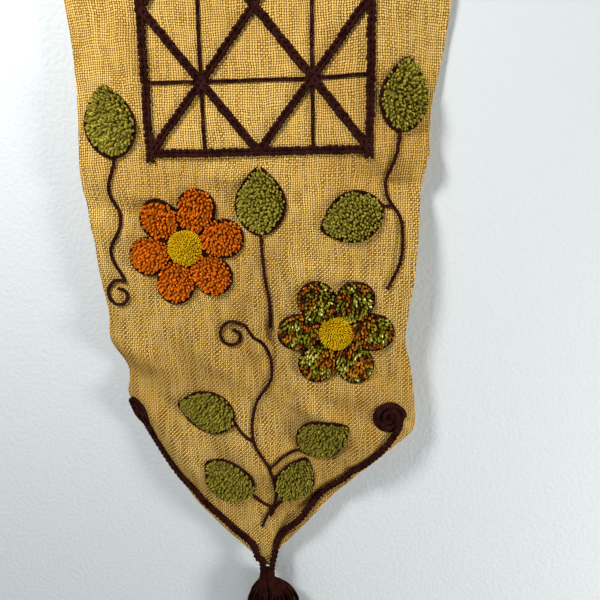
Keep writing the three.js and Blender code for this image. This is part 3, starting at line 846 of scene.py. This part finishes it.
class YarnSettings(bpy.types.PropertyGroup):
    """Sizes and colours of the brown yarn."""

    dark: colour_setting("Yarn shade", "Dark fibres of the brown yarn", (0.012, 0.0032, 0.0026))
    light: colour_setting("Yarn light", "Light fibres of the brown yarn", (0.046, 0.0132, 0.0106))
    vine: length_setting("Vine yarn radius", "Radius of the couched yarn", 0.0018)
    edge: length_setting("Edge yarn radius", "Radius of the yarn round leaves and petals", 0.0017)
    lay: length_setting("Lay", "Length of one turn of the yarn's twist", 0.008)
    link: length_setting("Chain link", "Length of one chain stitch", 0.0064)


class PileSettings(bpy.types.PropertyGroup):
    """Sizes and colours of the cut pile."""

    spacing: length_setting("Pile spacing", "From one cut end to the next", 0.0021)
    stretch: plain_setting("Stretch", "How much longer than wide an end is", 1.55, 1, 4)
    grain: plain_setting("Grain", "How far the ends are turned from upright, in degrees", 16, 0, 90)
    high: length_setting("Pile height", "Height of the leaves and petals", 0.0115)
    eye_high: length_setting("Centre height", "Height of a flower's centre", 0.0135)
    eye_spacing: length_setting("Centre spacing", "From one end to the next in a flower's centre", 0.0012)
    unrest: plain_setting("Unrest", "How unevenly the ends lean", 0.11)
    variation: plain_setting("Tone variation", "Spread of tone between ends", 0.2)
    # The root shades paint each end darker towards its root: painted shade between the ends
    painted_root_shade: colour_setting("Root shade", "Tone of an end at its root", (0.95, 0.68, 0.5))
    painted_green_root_shade: colour_setting("Green root shade", "Tone of a green end at its root", (0.62, 0.63, 0.46))
    green: colour_setting("Green", "Leaf pile", (0.285, 0.238, 0.031))
    orange: colour_setting("Orange", "Orange flower pile", (0.56, 0.145, 0.006))
    yellow: colour_setting("Yellow", "Pile of the flower centres", (0.68, 0.48, 0.008))
    mixed_green: colour_setting("Mixed green", "Green of the flecked pile", (0.14, 0.15, 0.008))
    mixed_olive: colour_setting("Mixed olive", "Olive of the flecked pile", (0.32, 0.29, 0.024))
    mixed_brown: colour_setting("Mixed brown", "Brown of the flecked pile", (0.065, 0.028, 0.006))
    mixed_ochre: colour_setting("Mixed ochre", "Ochre of the flecked pile", (0.42, 0.21, 0.015))
    mixed_pale: colour_setting("Mixed pale green", "Pale green of the flecked pile", (0.66, 0.68, 0.19))
    mixed_rust: colour_setting("Mixed rust", "Rust of the flecked pile", (0.32, 0.095, 0.007))


class StageSettings(bpy.types.PropertyGroup):
    """Colour and light round the hanging."""

    wall: colour_setting("Backdrop", "Colour of the backdrop and floor", (0.645, 0.69, 0.715))
    key: power_setting("Main light", "Power of the main light", 19.3)
    low: power_setting("Low light", "Power of the second light, low on the right", 17.5)
    fill: power_setting("Fill light", "Power of the light on the back", 30.0)
    sky: plain_setting("Sky", "Strength of the surrounding light", 0.17, 0, 5)


class PieceOperator(bpy.types.Operator):
    """Shared base: makes pieces of the hanging."""

    bl_options = {"REGISTER", "UNDO"}

    def settings(self, context):
        scene = context.scene
        return scene.hanging_cloth, scene.hanging_yarn, scene.hanging_pile

    def brown(self, yarn):
        name = "brown_wool"
        return bpy.data.materials.get(name) or yarn_material(name, yarn.dark, yarn.light)


class HANGING_OT_cloth(PieceOperator):
    """Makes the burlap panel with its edges turned under."""

    bl_idname = "hanging.cloth"
    bl_label = "Burlap panel"

    def execute(self, context):
        cloth, _, _ = self.settings(context)
        thick = cloth.thick / MM
        bend = 0.9
        row_step = 4.6
        turned = [-15, -11, -7.5, -4.5, -2.4, -0.9, -0.45, 0, 0.45, 0.9, 2.4, 4.5, 7.5, 11, 14.2, 16, 20]
        rim = turned[-1]
        middle = 72
        rows = turned[:-1] + list(np.arange(rim, 872, row_step)) + [872, 876]
        heights = np.array([-abs(r) for r in rows], float)
        left, right = edge_at(heights, LEFT), edge_at(heights, RIGHT)
        lean_left = np.hypot(1, (edge_at(heights + 9, LEFT) - edge_at(heights - 9, LEFT)) / 18)
        lean_right = np.hypot(1, (edge_at(heights + 9, RIGHT) - edge_at(heights - 9, RIGHT)) / 18)
        width = right - left
        # The rims narrow together where the point is too thin for both
        fit = np.minimum(1, 0.94 * width / (rim * (lean_left + lean_right)))
        offsets = turned + [None] * (middle - 1) + turned[::-1]
        columns = len(offsets)
        bm = bmesh.new()
        bmesh.ops.create_grid(bm, x_segments=columns - 1, y_segments=len(rows) - 1, size=1.0)
        grid = np.array([v.co[:2] for v in bm.verts])
        i = np.rint((grid[:, 0] + 1) / 2 * (columns - 1)).astype(int)
        j = np.rint((1 - (grid[:, 1] + 1) / 2) * (len(rows) - 1)).astype(int)

        def fold(offset):
            """In-plane distance from the folded edge and drop behind the front layer."""
            if offset >= bend:
                return offset, 0.0
            if offset <= -bend:
                return -offset, 2 * bend
            turn = (bend - offset) / (2 * bend) * math.pi
            return bend * (1 - math.sin(turn)), bend * (1 - math.cos(turn))

        reach = np.array([fold(o)[0] if o is not None else 0 for o in offsets])
        drop = np.array([fold(o)[1] if o is not None else 0 for o in offsets])
        flat = np.array([o if o is not None else 0 for o in offsets], float)
        side = np.array([0] * len(turned) + [1] * (middle - 1) + [2] * len(turned))
        row_drop = np.array([fold(r)[1] if r < rim else 0 for r in rows])
        row_reach = np.array([fold(r)[0] if r < rim else r for r in rows])
        z = -row_reach[j]
        from_left = left[j] + reach[i] * lean_left[j] * fit[j]
        from_right = right[j] - reach[i] * lean_right[j] * fit[j]
        inner_left = left[j] + rim * lean_left[j] * fit[j]
        inner_right = right[j] - rim * lean_right[j] * fit[j]
        share = np.clip((i - len(turned) + 1) / middle, 0, 1)
        x = np.choose(side[i], [from_left, inner_left + (inner_right - inner_left) * share, from_right])
        up = -thick / 2 - drop[i] - row_drop[j]
        placed = lift(x, z, up) * MM
        u = np.choose(side[i], [
            left[j] + flat[i] * lean_left[j] * fit[j], x, right[j] - flat[i] * lean_right[j] * fit[j],
        ]) * MM
        v = -np.array(rows, float)[j] * MM
        for vert, co in zip(bm.verts, placed):
            vert.co = co
        layer = bm.loops.layers.uv.new("threads")
        for face in bm.faces:
            face.smooth = True
            for loop in face.loops:
                k = loop.vert.index
                loop[layer].uv = (u[k], v[k])
        bmesh.ops.recalc_face_normals(bm, faces=bm.faces)
        area = sum(f.calc_area() for f in bm.faces)
        mesh = bpy.data.meshes.new("burlap_cloth")
        bm.to_mesh(mesh)
        bm.free()
        piece = bpy.data.objects.new("burlap_cloth", mesh)
        context.collection.objects.link(piece)
        shell = piece.modifiers.new("Thickness", "SOLIDIFY")
        shell.thickness = cloth.thick
        shell.offset = 0
        mesh.materials.append(burlap_material(cloth))
        carried(piece, "burlap_panel", slot="burlap")
        return {"FINISHED"}


def chain_link():
    """One chain stitch: two soft strands that open like a V, the path along +Y."""
    bm = bmesh.new()
    for side in (-1, 1):
        place = (
            Matrix.Translation((side * CHAIN["apart"], CHAIN["forward"], 0))
            @ Matrix.Rotation(math.radians(-side * CHAIN["turn"]), 4, "Z")
            @ Matrix.Rotation(math.radians(CHAIN["tilt"]), 4, "X")
            @ Matrix.Diagonal((*CHAIN["half"], 1))
        )
        bmesh.ops.create_uvsphere(bm, u_segments=8, v_segments=6, radius=1, matrix=place)
    return arrays_of(bm)


def add_chain(assembly, start, end, length, rng):
    """A straight row of chain stitches, each a little uneven."""
    path = even_path(np.array([start, end], float), length)
    middle = (path[1:] + path[:-1]) / 2
    at, across, along, out = frames_on_cloth(np.concatenate([middle, path[-1:]]), 1.9)
    at, across, along, out = at[:-1], across[:-1], along[:-1], out[:-1]
    size = rng.uniform(0.93, 1.06, (len(at), 1))
    places = np.stack([across * size, along * rng.uniform(0.95, 1.08, (len(at), 1)), out * size], -1)
    at = at + across * rng.normal(0, 0.25, (len(at), 1))
    assembly.add_copies(chain_link(), places, at, np.ones((len(at), 3)))


class HANGING_OT_trellis(PieceOperator):
    """Makes the chain-stitched trellis with its long thin stitches."""

    bl_idname = "hanging.trellis"
    bl_label = "Trellis"

    def execute(self, context):
        _, yarn, _ = self.settings(context)
        rng = np.random.default_rng(11)
        half, top, rise, rows, columns = (TRELLIS[k] for k in ("half", "top", "rise", "rows", "columns"))
        step, foot = 2 * half / columns, top - rise * rows

        def spot(i, j):
            return (-half + i * step, top - rise * j)

        bars = [
            (spot(0, 0), spot(columns, 0)), (spot(0, rows), spot(columns, rows)),
            ((-half, top + 8), (-half, foot - 8)), ((half, top + 8), (half, foot - 8)),
        ]
        for i in range(0, columns + 1, 2):
            bars += [(spot(i, 0), spot(columns, columns - i)), (spot(i, 0), spot(0, i))]
            if i > 0:
                bars.append((spot(0, i), spot(columns - i, rows)))
            if 0 < i < columns:
                bars.append((spot(columns, i), spot(i, rows)))
        work = Assembly()
        for a, b in bars:
            if math.dist(a, b) > 1:
                add_chain(work, a, b, yarn.link / MM, rng)
        runs = []
        for k in range(1, columns, 2):
            for a, b in ((spot(k, 0), spot(k, rows)), (spot(0, k), spot(columns, k))):
                a, b = np.array(a, float), np.array(b, float)
                across = np.array([a[1] - b[1], b[0] - a[0]]) / math.dist(a, b)
                early, late = (2 * a + b) / 3 + across * 0.5, (a + 2 * b) / 3 - across * 0.4
                for shift in (-1.05, 1.05):
                    bow = np.array([a, early, late, b]) + across * shift
                    runs.append(laid_run(bow, 1.2, 1.5))
        work.add(yarn_shape(runs, 1.05, 5.0, 8))
        work.add(back_shape([run for bar in bars if math.dist(*bar) > 1 for run in back_runs(bar)]))
        carried(work.build("trellis_yarn", self.brown(yarn)), "trellis", slot="brown_yarn")
        return {"FINISHED"}


def leaf_ring(spec, bluntness, grow, steps=26):
    """Closed path of couched yarn round a leaf or petal."""
    angle = math.pi + np.arange(steps) * 2 * math.pi / steps
    return outline_points(*spec, bluntness, angle, grow)


def curl_path(x, z, radius, turns, start):
    """Spiral at the end of a vine."""
    t = np.linspace(0, 1, round(turns * 14) + 1)
    angle = math.radians(start) + 2 * math.pi * turns * t
    r = radius * (1 - 0.62 * t)
    return np.stack([x + r * np.cos(angle), z + r * np.sin(angle)], -1)


class HANGING_OT_vines(PieceOperator):
    """Lays the vines, stems, leaf outlines and curls in couched yarn."""

    bl_idname = "hanging.vines"
    bl_label = "Vines"

    def execute(self, context):
        _, yarn, _ = self.settings(context)
        radius, edge = yarn.vine / MM, yarn.edge / MM
        for name, path in VINES.items():
            rings, runs = [], [laid_run(path, radius)]
            if name in CURL_ENDS:
                runs.append(laid_run(curl_path(*CURL_ENDS[name]), radius + 0.4))
            for x, z, long, wide, turn, vine, stem in LEAVES.values():
                if vine != name:
                    continue
                spec = (x, z, long, wide, turn)
                ring = leaf_ring(spec, leaf_bluntness, RING_GROWTH)
                rings.append(laid_run(ring, edge, closed=True))
                base = ring[0]
                aside = np.array([-(base[1] - stem[1]), base[0] - stem[0]])
                mid = (np.array(stem) * 0.5 + base * 0.5) + aside * 0.06
                runs.append(laid_run([stem, mid, base], radius))
            work = Assembly()
            work.add(yarn_shape(runs, radius * 1.12, yarn.lay / MM))
            work.add(yarn_shape(rings, edge * 1.12, yarn.lay / MM))
            work.add(back_shape(back_runs(path)))
            carried(work.build(name + "_yarn", self.brown(yarn)), name, slot="brown_yarn")
        return {"FINISHED"}


class HANGING_OT_leaves(PieceOperator):
    """Fills the leaves with green cut pile."""

    bl_idname = "hanging.leaves"
    bl_label = "Pile leaves"

    def execute(self, context):
        _, _, pile = self.settings(context)
        material = pile_material("green_wool_ends")
        for k, (name, (x, z, long, wide, turn, _, _)) in enumerate(LEAVES.items()):
            rng = np.random.default_rng(100 + k)
            lean = np.array([-0.3 + 0.12 * math.sin(k * 2.3), -0.16 + 0.22 * math.sin(k * 1.9 + 1)])
            work = Assembly()
            spec = (x, z, long, wide, turn)
            high = pile.high / MM
            # Painted shade on the leaves low on the cloth
            tone = 0.8 if z < LOW_LEAVES else 1.0
            pile_patch(work, spec, leaf_bluntness, "green", pile, high, rng, lean, painted_shade_factor=tone)
            carried(work.build(name + "_pile", material), name, slot="green_pile")
        return {"FINISHED"}


def petals_of(flower):
    """Outline of each petal of a flower."""
    x, z, turn, _ = FLOWERS[flower]
    specs = []
    for i in range(PETAL["count"]):
        at = turn + 360 * i / PETAL["count"]
        c, s = math.cos(math.radians(at)), math.sin(math.radians(at))
        specs.append((x + PETAL["out"] * c, z + PETAL["out"] * s, PETAL["long"], PETAL["wide"], at))
    return specs


class HANGING_OT_flowers(PieceOperator):
    """Makes the flowers: pile petals, their couched outline and a dense centre."""

    bl_idname = "hanging.flowers"
    bl_label = "Pile flowers"

    def execute(self, context):
        _, yarn, pile = self.settings(context)
        radius = yarn.edge / MM
        yellow = pile_material("yellow_wool_ends")
        for k, (name, (x, z, _, kind)) in enumerate(FLOWERS.items()):
            material = pile_material(kind + "_wool_ends")
            runs = []
            for i, spec in enumerate(petals_of(name)):
                rng = np.random.default_rng(200 + 20 * k + i)
                lean = rng.normal(0, 0.1, 2) + (-0.1, -0.26)
                work = Assembly()
                pile_patch(work, spec, petal_bluntness, kind, pile, pile.high / MM, rng, lean)
                node = f"{name}_petal_{i + 1}"
                carried(work.build(node + "_pile", material), node, slot=kind + "_pile")
                ring = leaf_ring(spec, petal_bluntness, RING_GROWTH, 20)
                runs.append(laid_run(ring, radius, closed=True))
            work = Assembly()
            work.add(yarn_shape(runs, radius * 1.1, yarn.lay / MM))
            node = name + "_outline"
            carried(work.build(node + "_yarn", self.brown(yarn)), node, slot="brown_yarn")
            work = Assembly()
            rng = np.random.default_rng(300 + k)
            spec = (x, z, 2 * EYE_RADIUS + 1, 2 * EYE_RADIUS + 1, 0)
            pile_patch(work, spec, petal_bluntness, "yellow", pile, pile.eye_high / MM, rng, (0, 0), True)
            carried(work.build(name + "_eye_pile", yellow), name + "_eye", slot="yellow_pile")
        return {"FINISHED"}


def braid_path(side):
    """Middle line of an edge braid, from its coil down to the tassel."""
    inwards = 1 if side == "left" else -1
    column = LEFT if side == "left" else RIGHT
    z = np.arange(BRAID_TOPS[side], -868, -8.0)
    lean = (table_at(OUTLINE, z + 12, column) - table_at(OUTLINE, z - 12, column)) / 24
    inset = table_at(BRAID_INSETS[side], z, 1)
    near = np.clip((z + 866) / 24, 0, 1)
    x = edge_at(z, column) + inwards * np.maximum(inset * np.hypot(1, lean) * near, 1)
    line = BRAID_STARTS[side] + list(zip(x, z))
    line += [(TIP[0] - inwards * 6.4, -868), (TIP[0] - inwards * 5.3, TIP[1] - 2)]
    return np.array(line, float)


class HANGING_OT_braids(PieceOperator):
    """Plaits the two edge braids and winds the coil at the top of each."""

    bl_idname = "hanging.braids"
    bl_label = "Edge braids"

    def execute(self, context):
        _, yarn, _ = self.settings(context)
        for side, (cx, cz, turn, squeeze) in COILS.items():
            step = 1.2
            path = smooth_path(braid_path(side), step)
            at, across, _, out = frames_on_cloth(path, 1.0)
            s = np.concatenate([[0], np.cumsum(np.linalg.norm(np.diff(at, axis=0), axis=1))])
            runs = []
            for k in range(STRANDS):
                phase = 2 * math.pi * (s / BRAID["plait"] + k / STRANDS)
                swing = BRAID["swing"] * np.sin(phase)
                rise = BRAID["rise"] + BRAID["wave"] * np.sin(2 * phase)
                runs.append((at + across * swing[:, None] + out * rise[:, None], False))
            c, sn = math.cos(math.radians(turn)), math.sin(math.radians(turn))
            angle = np.linspace(0, 2 * math.pi * COIL["turns"], 200)
            r = COIL_RADIUS - COIL["edge"] - (COIL_RADIUS - COIL["wind"]) * angle / angle[-1]
            coil = []
            middle = even_path(np.stack([r * np.cos(angle), r * np.sin(angle), r], -1), step)
            heading = np.gradient(middle[:, :2], axis=0)
            heading /= np.linalg.norm(heading, axis=1, keepdims=True)
            sideways = np.stack([heading[:, 1], -heading[:, 0]], -1)
            length = np.arange(len(middle)) * step
            for k in range(STRANDS):
                phase = 2 * math.pi * (length / COIL["plait"] + k / STRANDS)
                spot = middle[:, :2] + sideways * (COIL["swing"] * np.sin(phase))[:, None]
                u, v = spot[:, 0] * squeeze, spot[:, 1]
                dome = COIL["rise"] + COIL["wave"] * np.sin(2 * phase)
                dome = dome + COIL["crown"] * (1 - (middle[:, 2] / COIL_RADIUS) ** 2)
                coil.append((lift(cx + c * u - sn * v, cz + sn * u + c * v, dome), False))
            work = Assembly()
            work.add(yarn_shape(runs, BRAID["radius"], BRAID["lay"]))
            work.add(yarn_shape(coil, COIL["radius"], COIL["lay"]))
            dome_points, loops, starts = dome_shape()
            ring = np.arctan2(dome_points[:, 1], dome_points[:, 0])
            reach = np.hypot(dome_points[:, 0], dome_points[:, 1]) * (COIL_RADIUS - 2)
            u, v = reach * squeeze * np.cos(ring), reach * np.sin(ring)
            base = lift(cx + c * u - sn * v, cz + sn * u + c * v, 0.3 + dome_points[:, 2] * 2.6)
            work.add((base, loops, starts))
            name = "braid_" + side
            carried(work.build(name + "_yarn", self.brown(yarn)), name, slot="brown_yarn")
        return {"FINISHED"}


class HANGING_OT_tassel(PieceOperator):
    """Makes the tassel: a bound neck and rows of loose yarn ends."""

    bl_idname = "hanging.tassel"
    bl_label = "Tassel"

    def execute(self, context):
        _, yarn, _ = self.settings(context)
        rng = np.random.default_rng(7)
        y = float(-depth(TIP[0], TIP[1])) - 2
        runs = []
        for k in range(TASSEL_ENDS):
            share = math.sqrt((k + 0.5) / TASSEL_ENDS)
            a = k * GOLDEN_ANGLE
            end = 116 + rng.uniform(-5, 5)
            drops = np.array([-3, 4, 10, 16, 22, 30, 40, 52, 68, 84, 100, end])
            wide, deep, shift = (np.interp(drops, TASSEL[:, 0], TASSEL[:, c]) for c in (1, 2, 3))
            wide, deep = wide - 1.5, deep - 1.5
            wander = np.cumsum(rng.normal(0, 0.45, (len(drops), 2)), axis=0)
            wander = wander * np.clip(drops / 40, 0, 1)[:, None]
            px = TIP[0] + shift + wide * share * math.cos(a) + wander[:, 0]
            py = y + deep * share * math.sin(a) + wander[:, 1] * 0.6
            line = smooth_path(np.stack([px, py, TIP[1] - drops], -1), 2.6)
            runs.append((line, False))
        work = Assembly()
        work.add(yarn_shape(runs, 1.25, 6.5, 6))
        ropes = []
        for k in range(TASSEL_ROPES):
            side = 1 if k % 2 else -1
            slot = (k // 2) / 6
            drops = np.array([-4, 2, 8, 14, 20, 27])
            wide, deep, shift = (np.interp(drops, TASSEL[:, 0], TASSEL[:, c]) for c in (1, 2, 3))
            lane = side * (0.18 + 0.8 * slot)
            px = TIP[0] + shift + wide * (lane * np.array([0.8, 0.86, 0.95, 1, 1, 0.96]))
            bulge = deep * np.sqrt(np.maximum(0.05, 1 - lane**2)) + 0.9
            py = y - bulge * (0.82 + 0.16 * math.cos(math.pi * slot))
            ropes.append((smooth_path(np.stack([px, py, TIP[1] - drops], -1), 1.6), False))
        work.add(yarn_shape(ropes, 1.7, 7.0, 8))
        carried(work.build("tassel_yarn", self.brown(yarn)), "tassel", slot="brown_yarn")
        return {"FINISHED"}


def photo_camera(context):
    """Camera above the middle of the cloth, tilted down at its lower part."""
    pitch, yaw, roll = (math.radians(angle) for angle in (13, -3, 1))
    turn = Matrix.Rotation(yaw, 3, "Y") @ Matrix.Rotation(-pitch, 3, "X") @ Matrix.Rotation(roll, 3, "Z")
    camera = bpy.data.cameras.new("camera")
    camera.lens = 27
    camera.sensor_width = 36
    camera.clip_start = 0.01
    eye = bpy.data.objects.new("camera", camera)
    context.collection.objects.link(eye)
    right, down, ahead = (turn @ Vector(axis) for axis in ((1, 0, 0), (0, 1, 0), (0, 0, 1)))

    def world(v):
        """From right, down and ahead to the scene's axes."""
        return Vector((v.x, v.z, -v.y))

    basis = Matrix((world(right), -world(down), -world(ahead))).transposed()
    eye.matrix_world = Matrix.Translation((0.065, -0.490, -0.413)) @ basis.to_4x4()
    context.scene.camera = eye


def lamp(context, name, where, aim, size, power, colour):
    """A round soft light that looks at a place."""
    data = bpy.data.lights.new(name, "AREA")
    data.shape = "DISK"
    data.size = size
    data.energy = power
    data.color = colour
    holder = bpy.data.objects.new(name, data)
    context.collection.objects.link(holder)
    holder.location = where
    holder.rotation_euler = (Vector(aim) - Vector(where)).to_track_quat("-Z", "Y").to_euler()


def stage_sheet(context, name, place, material):
    """A flat sheet for the wall or the floor."""
    bm = bmesh.new()
    bmesh.ops.create_grid(bm, x_segments=1, y_segments=1, size=1, matrix=place)
    mesh = bpy.data.meshes.new(name)
    bm.to_mesh(mesh)
    bm.free()
    mesh.materials.append(material)
    sheet = bpy.data.objects.new(name, mesh)
    context.collection.objects.link(sheet)
    return sheet


def backdrop_material(wall):
    """Pale plaster that is clear where its back is seen, so the hanging's back can be looked at."""
    n = Nodes("backdrop")
    place = n.put("ShaderNodeTexCoord").outputs["Object"]
    grain = n.put("ShaderNodeTexNoise", {"Vector": place, "Scale": 190.0, "Detail": 4.0})
    shader = n.put("ShaderNodeBsdfPrincipled", {"Base Color": rgba(wall), "Roughness": 0.9})
    relief = {"Strength": 0.6, "Distance": 0.0016, "Height": grain.outputs["Fac"]}
    n.feed(shader.inputs["Normal"], n.put("ShaderNodeBump", relief))
    behind = n.put("ShaderNodeNewGeometry").outputs["Backfacing"]
    join = n.put("ShaderNodeMixShader", {0: behind, 1: shader, 2: n.put("ShaderNodeBsdfTransparent")})
    n.tree.links.new(join.outputs[0], n.out.inputs[0])
    return n.material


class HANGING_OT_stage(PieceOperator):
    """Sets the pale backdrop and floor, the soft lights and the camera."""

    bl_idname = "hanging.stage"
    bl_label = "Stage"

    def execute(self, context):
        stage = context.scene.hanging_stage
        plaster = backdrop_material(stage.wall)
        upright = Matrix.Rotation(math.radians(90), 4, "X") @ Matrix.Diagonal((2.2, 1.9, 1, 1))
        wall = stage_sheet(context, "backdrop", Matrix.Translation((0, 0.0215, 0.4)) @ upright, plaster)
        wall.visible_diffuse = False
        wall.visible_glossy = False
        wall.visible_shadow = False
        level = Matrix.Translation((0, 0, -1.5)) @ Matrix.Diagonal((4, 4, 1, 1))
        floor = stage_sheet(context, "floor", level, plaster)
        world = bpy.data.worlds.new("soft_sky")
        world.use_nodes = True
        sky = world.node_tree.nodes["Background"]
        sky.inputs[0].default_value = (0.93, 0.96, 1.0, 1)
        sky.inputs[1].default_value = stage.sky
        context.scene.world = world
        lamp(context, "window", (-0.62, -0.783, 0.37), (0, 0, -0.4), 0.3, stage.key, (1.0, 0.98, 0.95))
        lamp(context, "low_right", (1.4, -0.7, -0.8), (0, 0, -0.88), 0.38, stage.low, (1.0, 0.97, 0.92))
        lamp(context, "behind", (-0.6, 1.6, 0.3), (0, 0, -0.5), 1.2, stage.fill, (1.0, 1.0, 1.0))
        photo_camera(context)
        context.scene.view_settings.view_transform = "Standard"
        return {"FINISHED"}


class HANGING_PT_panel(bpy.types.Panel):
    """Lists the steps in the sidebar."""

    bl_label = "Yarn wall hanging"
    bl_idname = "HANGING_PT_panel"
    bl_space_type = "VIEW_3D"
    bl_region_type = "UI"
    bl_category = "Hanging"

    def draw(self, context):
        for operator in OPERATORS:
            self.layout.operator(operator.bl_idname)


OPERATORS = (
    HANGING_OT_stage, HANGING_OT_cloth, HANGING_OT_trellis, HANGING_OT_vines, HANGING_OT_leaves,
    HANGING_OT_flowers, HANGING_OT_braids, HANGING_OT_tassel,
)
SETTINGS = {
    "hanging_cloth": ClothSettings,
    "hanging_yarn": YarnSettings,
    "hanging_pile": PileSettings,
    "hanging_stage": StageSettings,
}


def register():
    for group in SETTINGS.values():
        bpy.utils.register_class(group)
    for operator in OPERATORS:
        bpy.utils.register_class(operator)
    bpy.utils.register_class(HANGING_PT_panel)
    for name, group in SETTINGS.items():
        setattr(bpy.types.Scene, name, bpy.props.PointerProperty(type=group))


def unregister():
    for name in SETTINGS:
        delattr(bpy.types.Scene, name)
    bpy.utils.unregister_class(HANGING_PT_panel)
    for operator in reversed(OPERATORS):
        bpy.utils.unregister_class(operator)
    for group in reversed(list(SETTINGS.values())):
        bpy.utils.unregister_class(group)


def main():
    """Makes the stage and every piece."""
    register()
    bpy.ops.hanging.stage()
    bpy.ops.hanging.cloth()
    bpy.ops.hanging.trellis()
    bpy.ops.hanging.vines()
    bpy.ops.hanging.leaves()
    bpy.ops.hanging.flowers()
    bpy.ops.hanging.braids()
    bpy.ops.hanging.tassel()


if __name__ == "__main__":
    main()
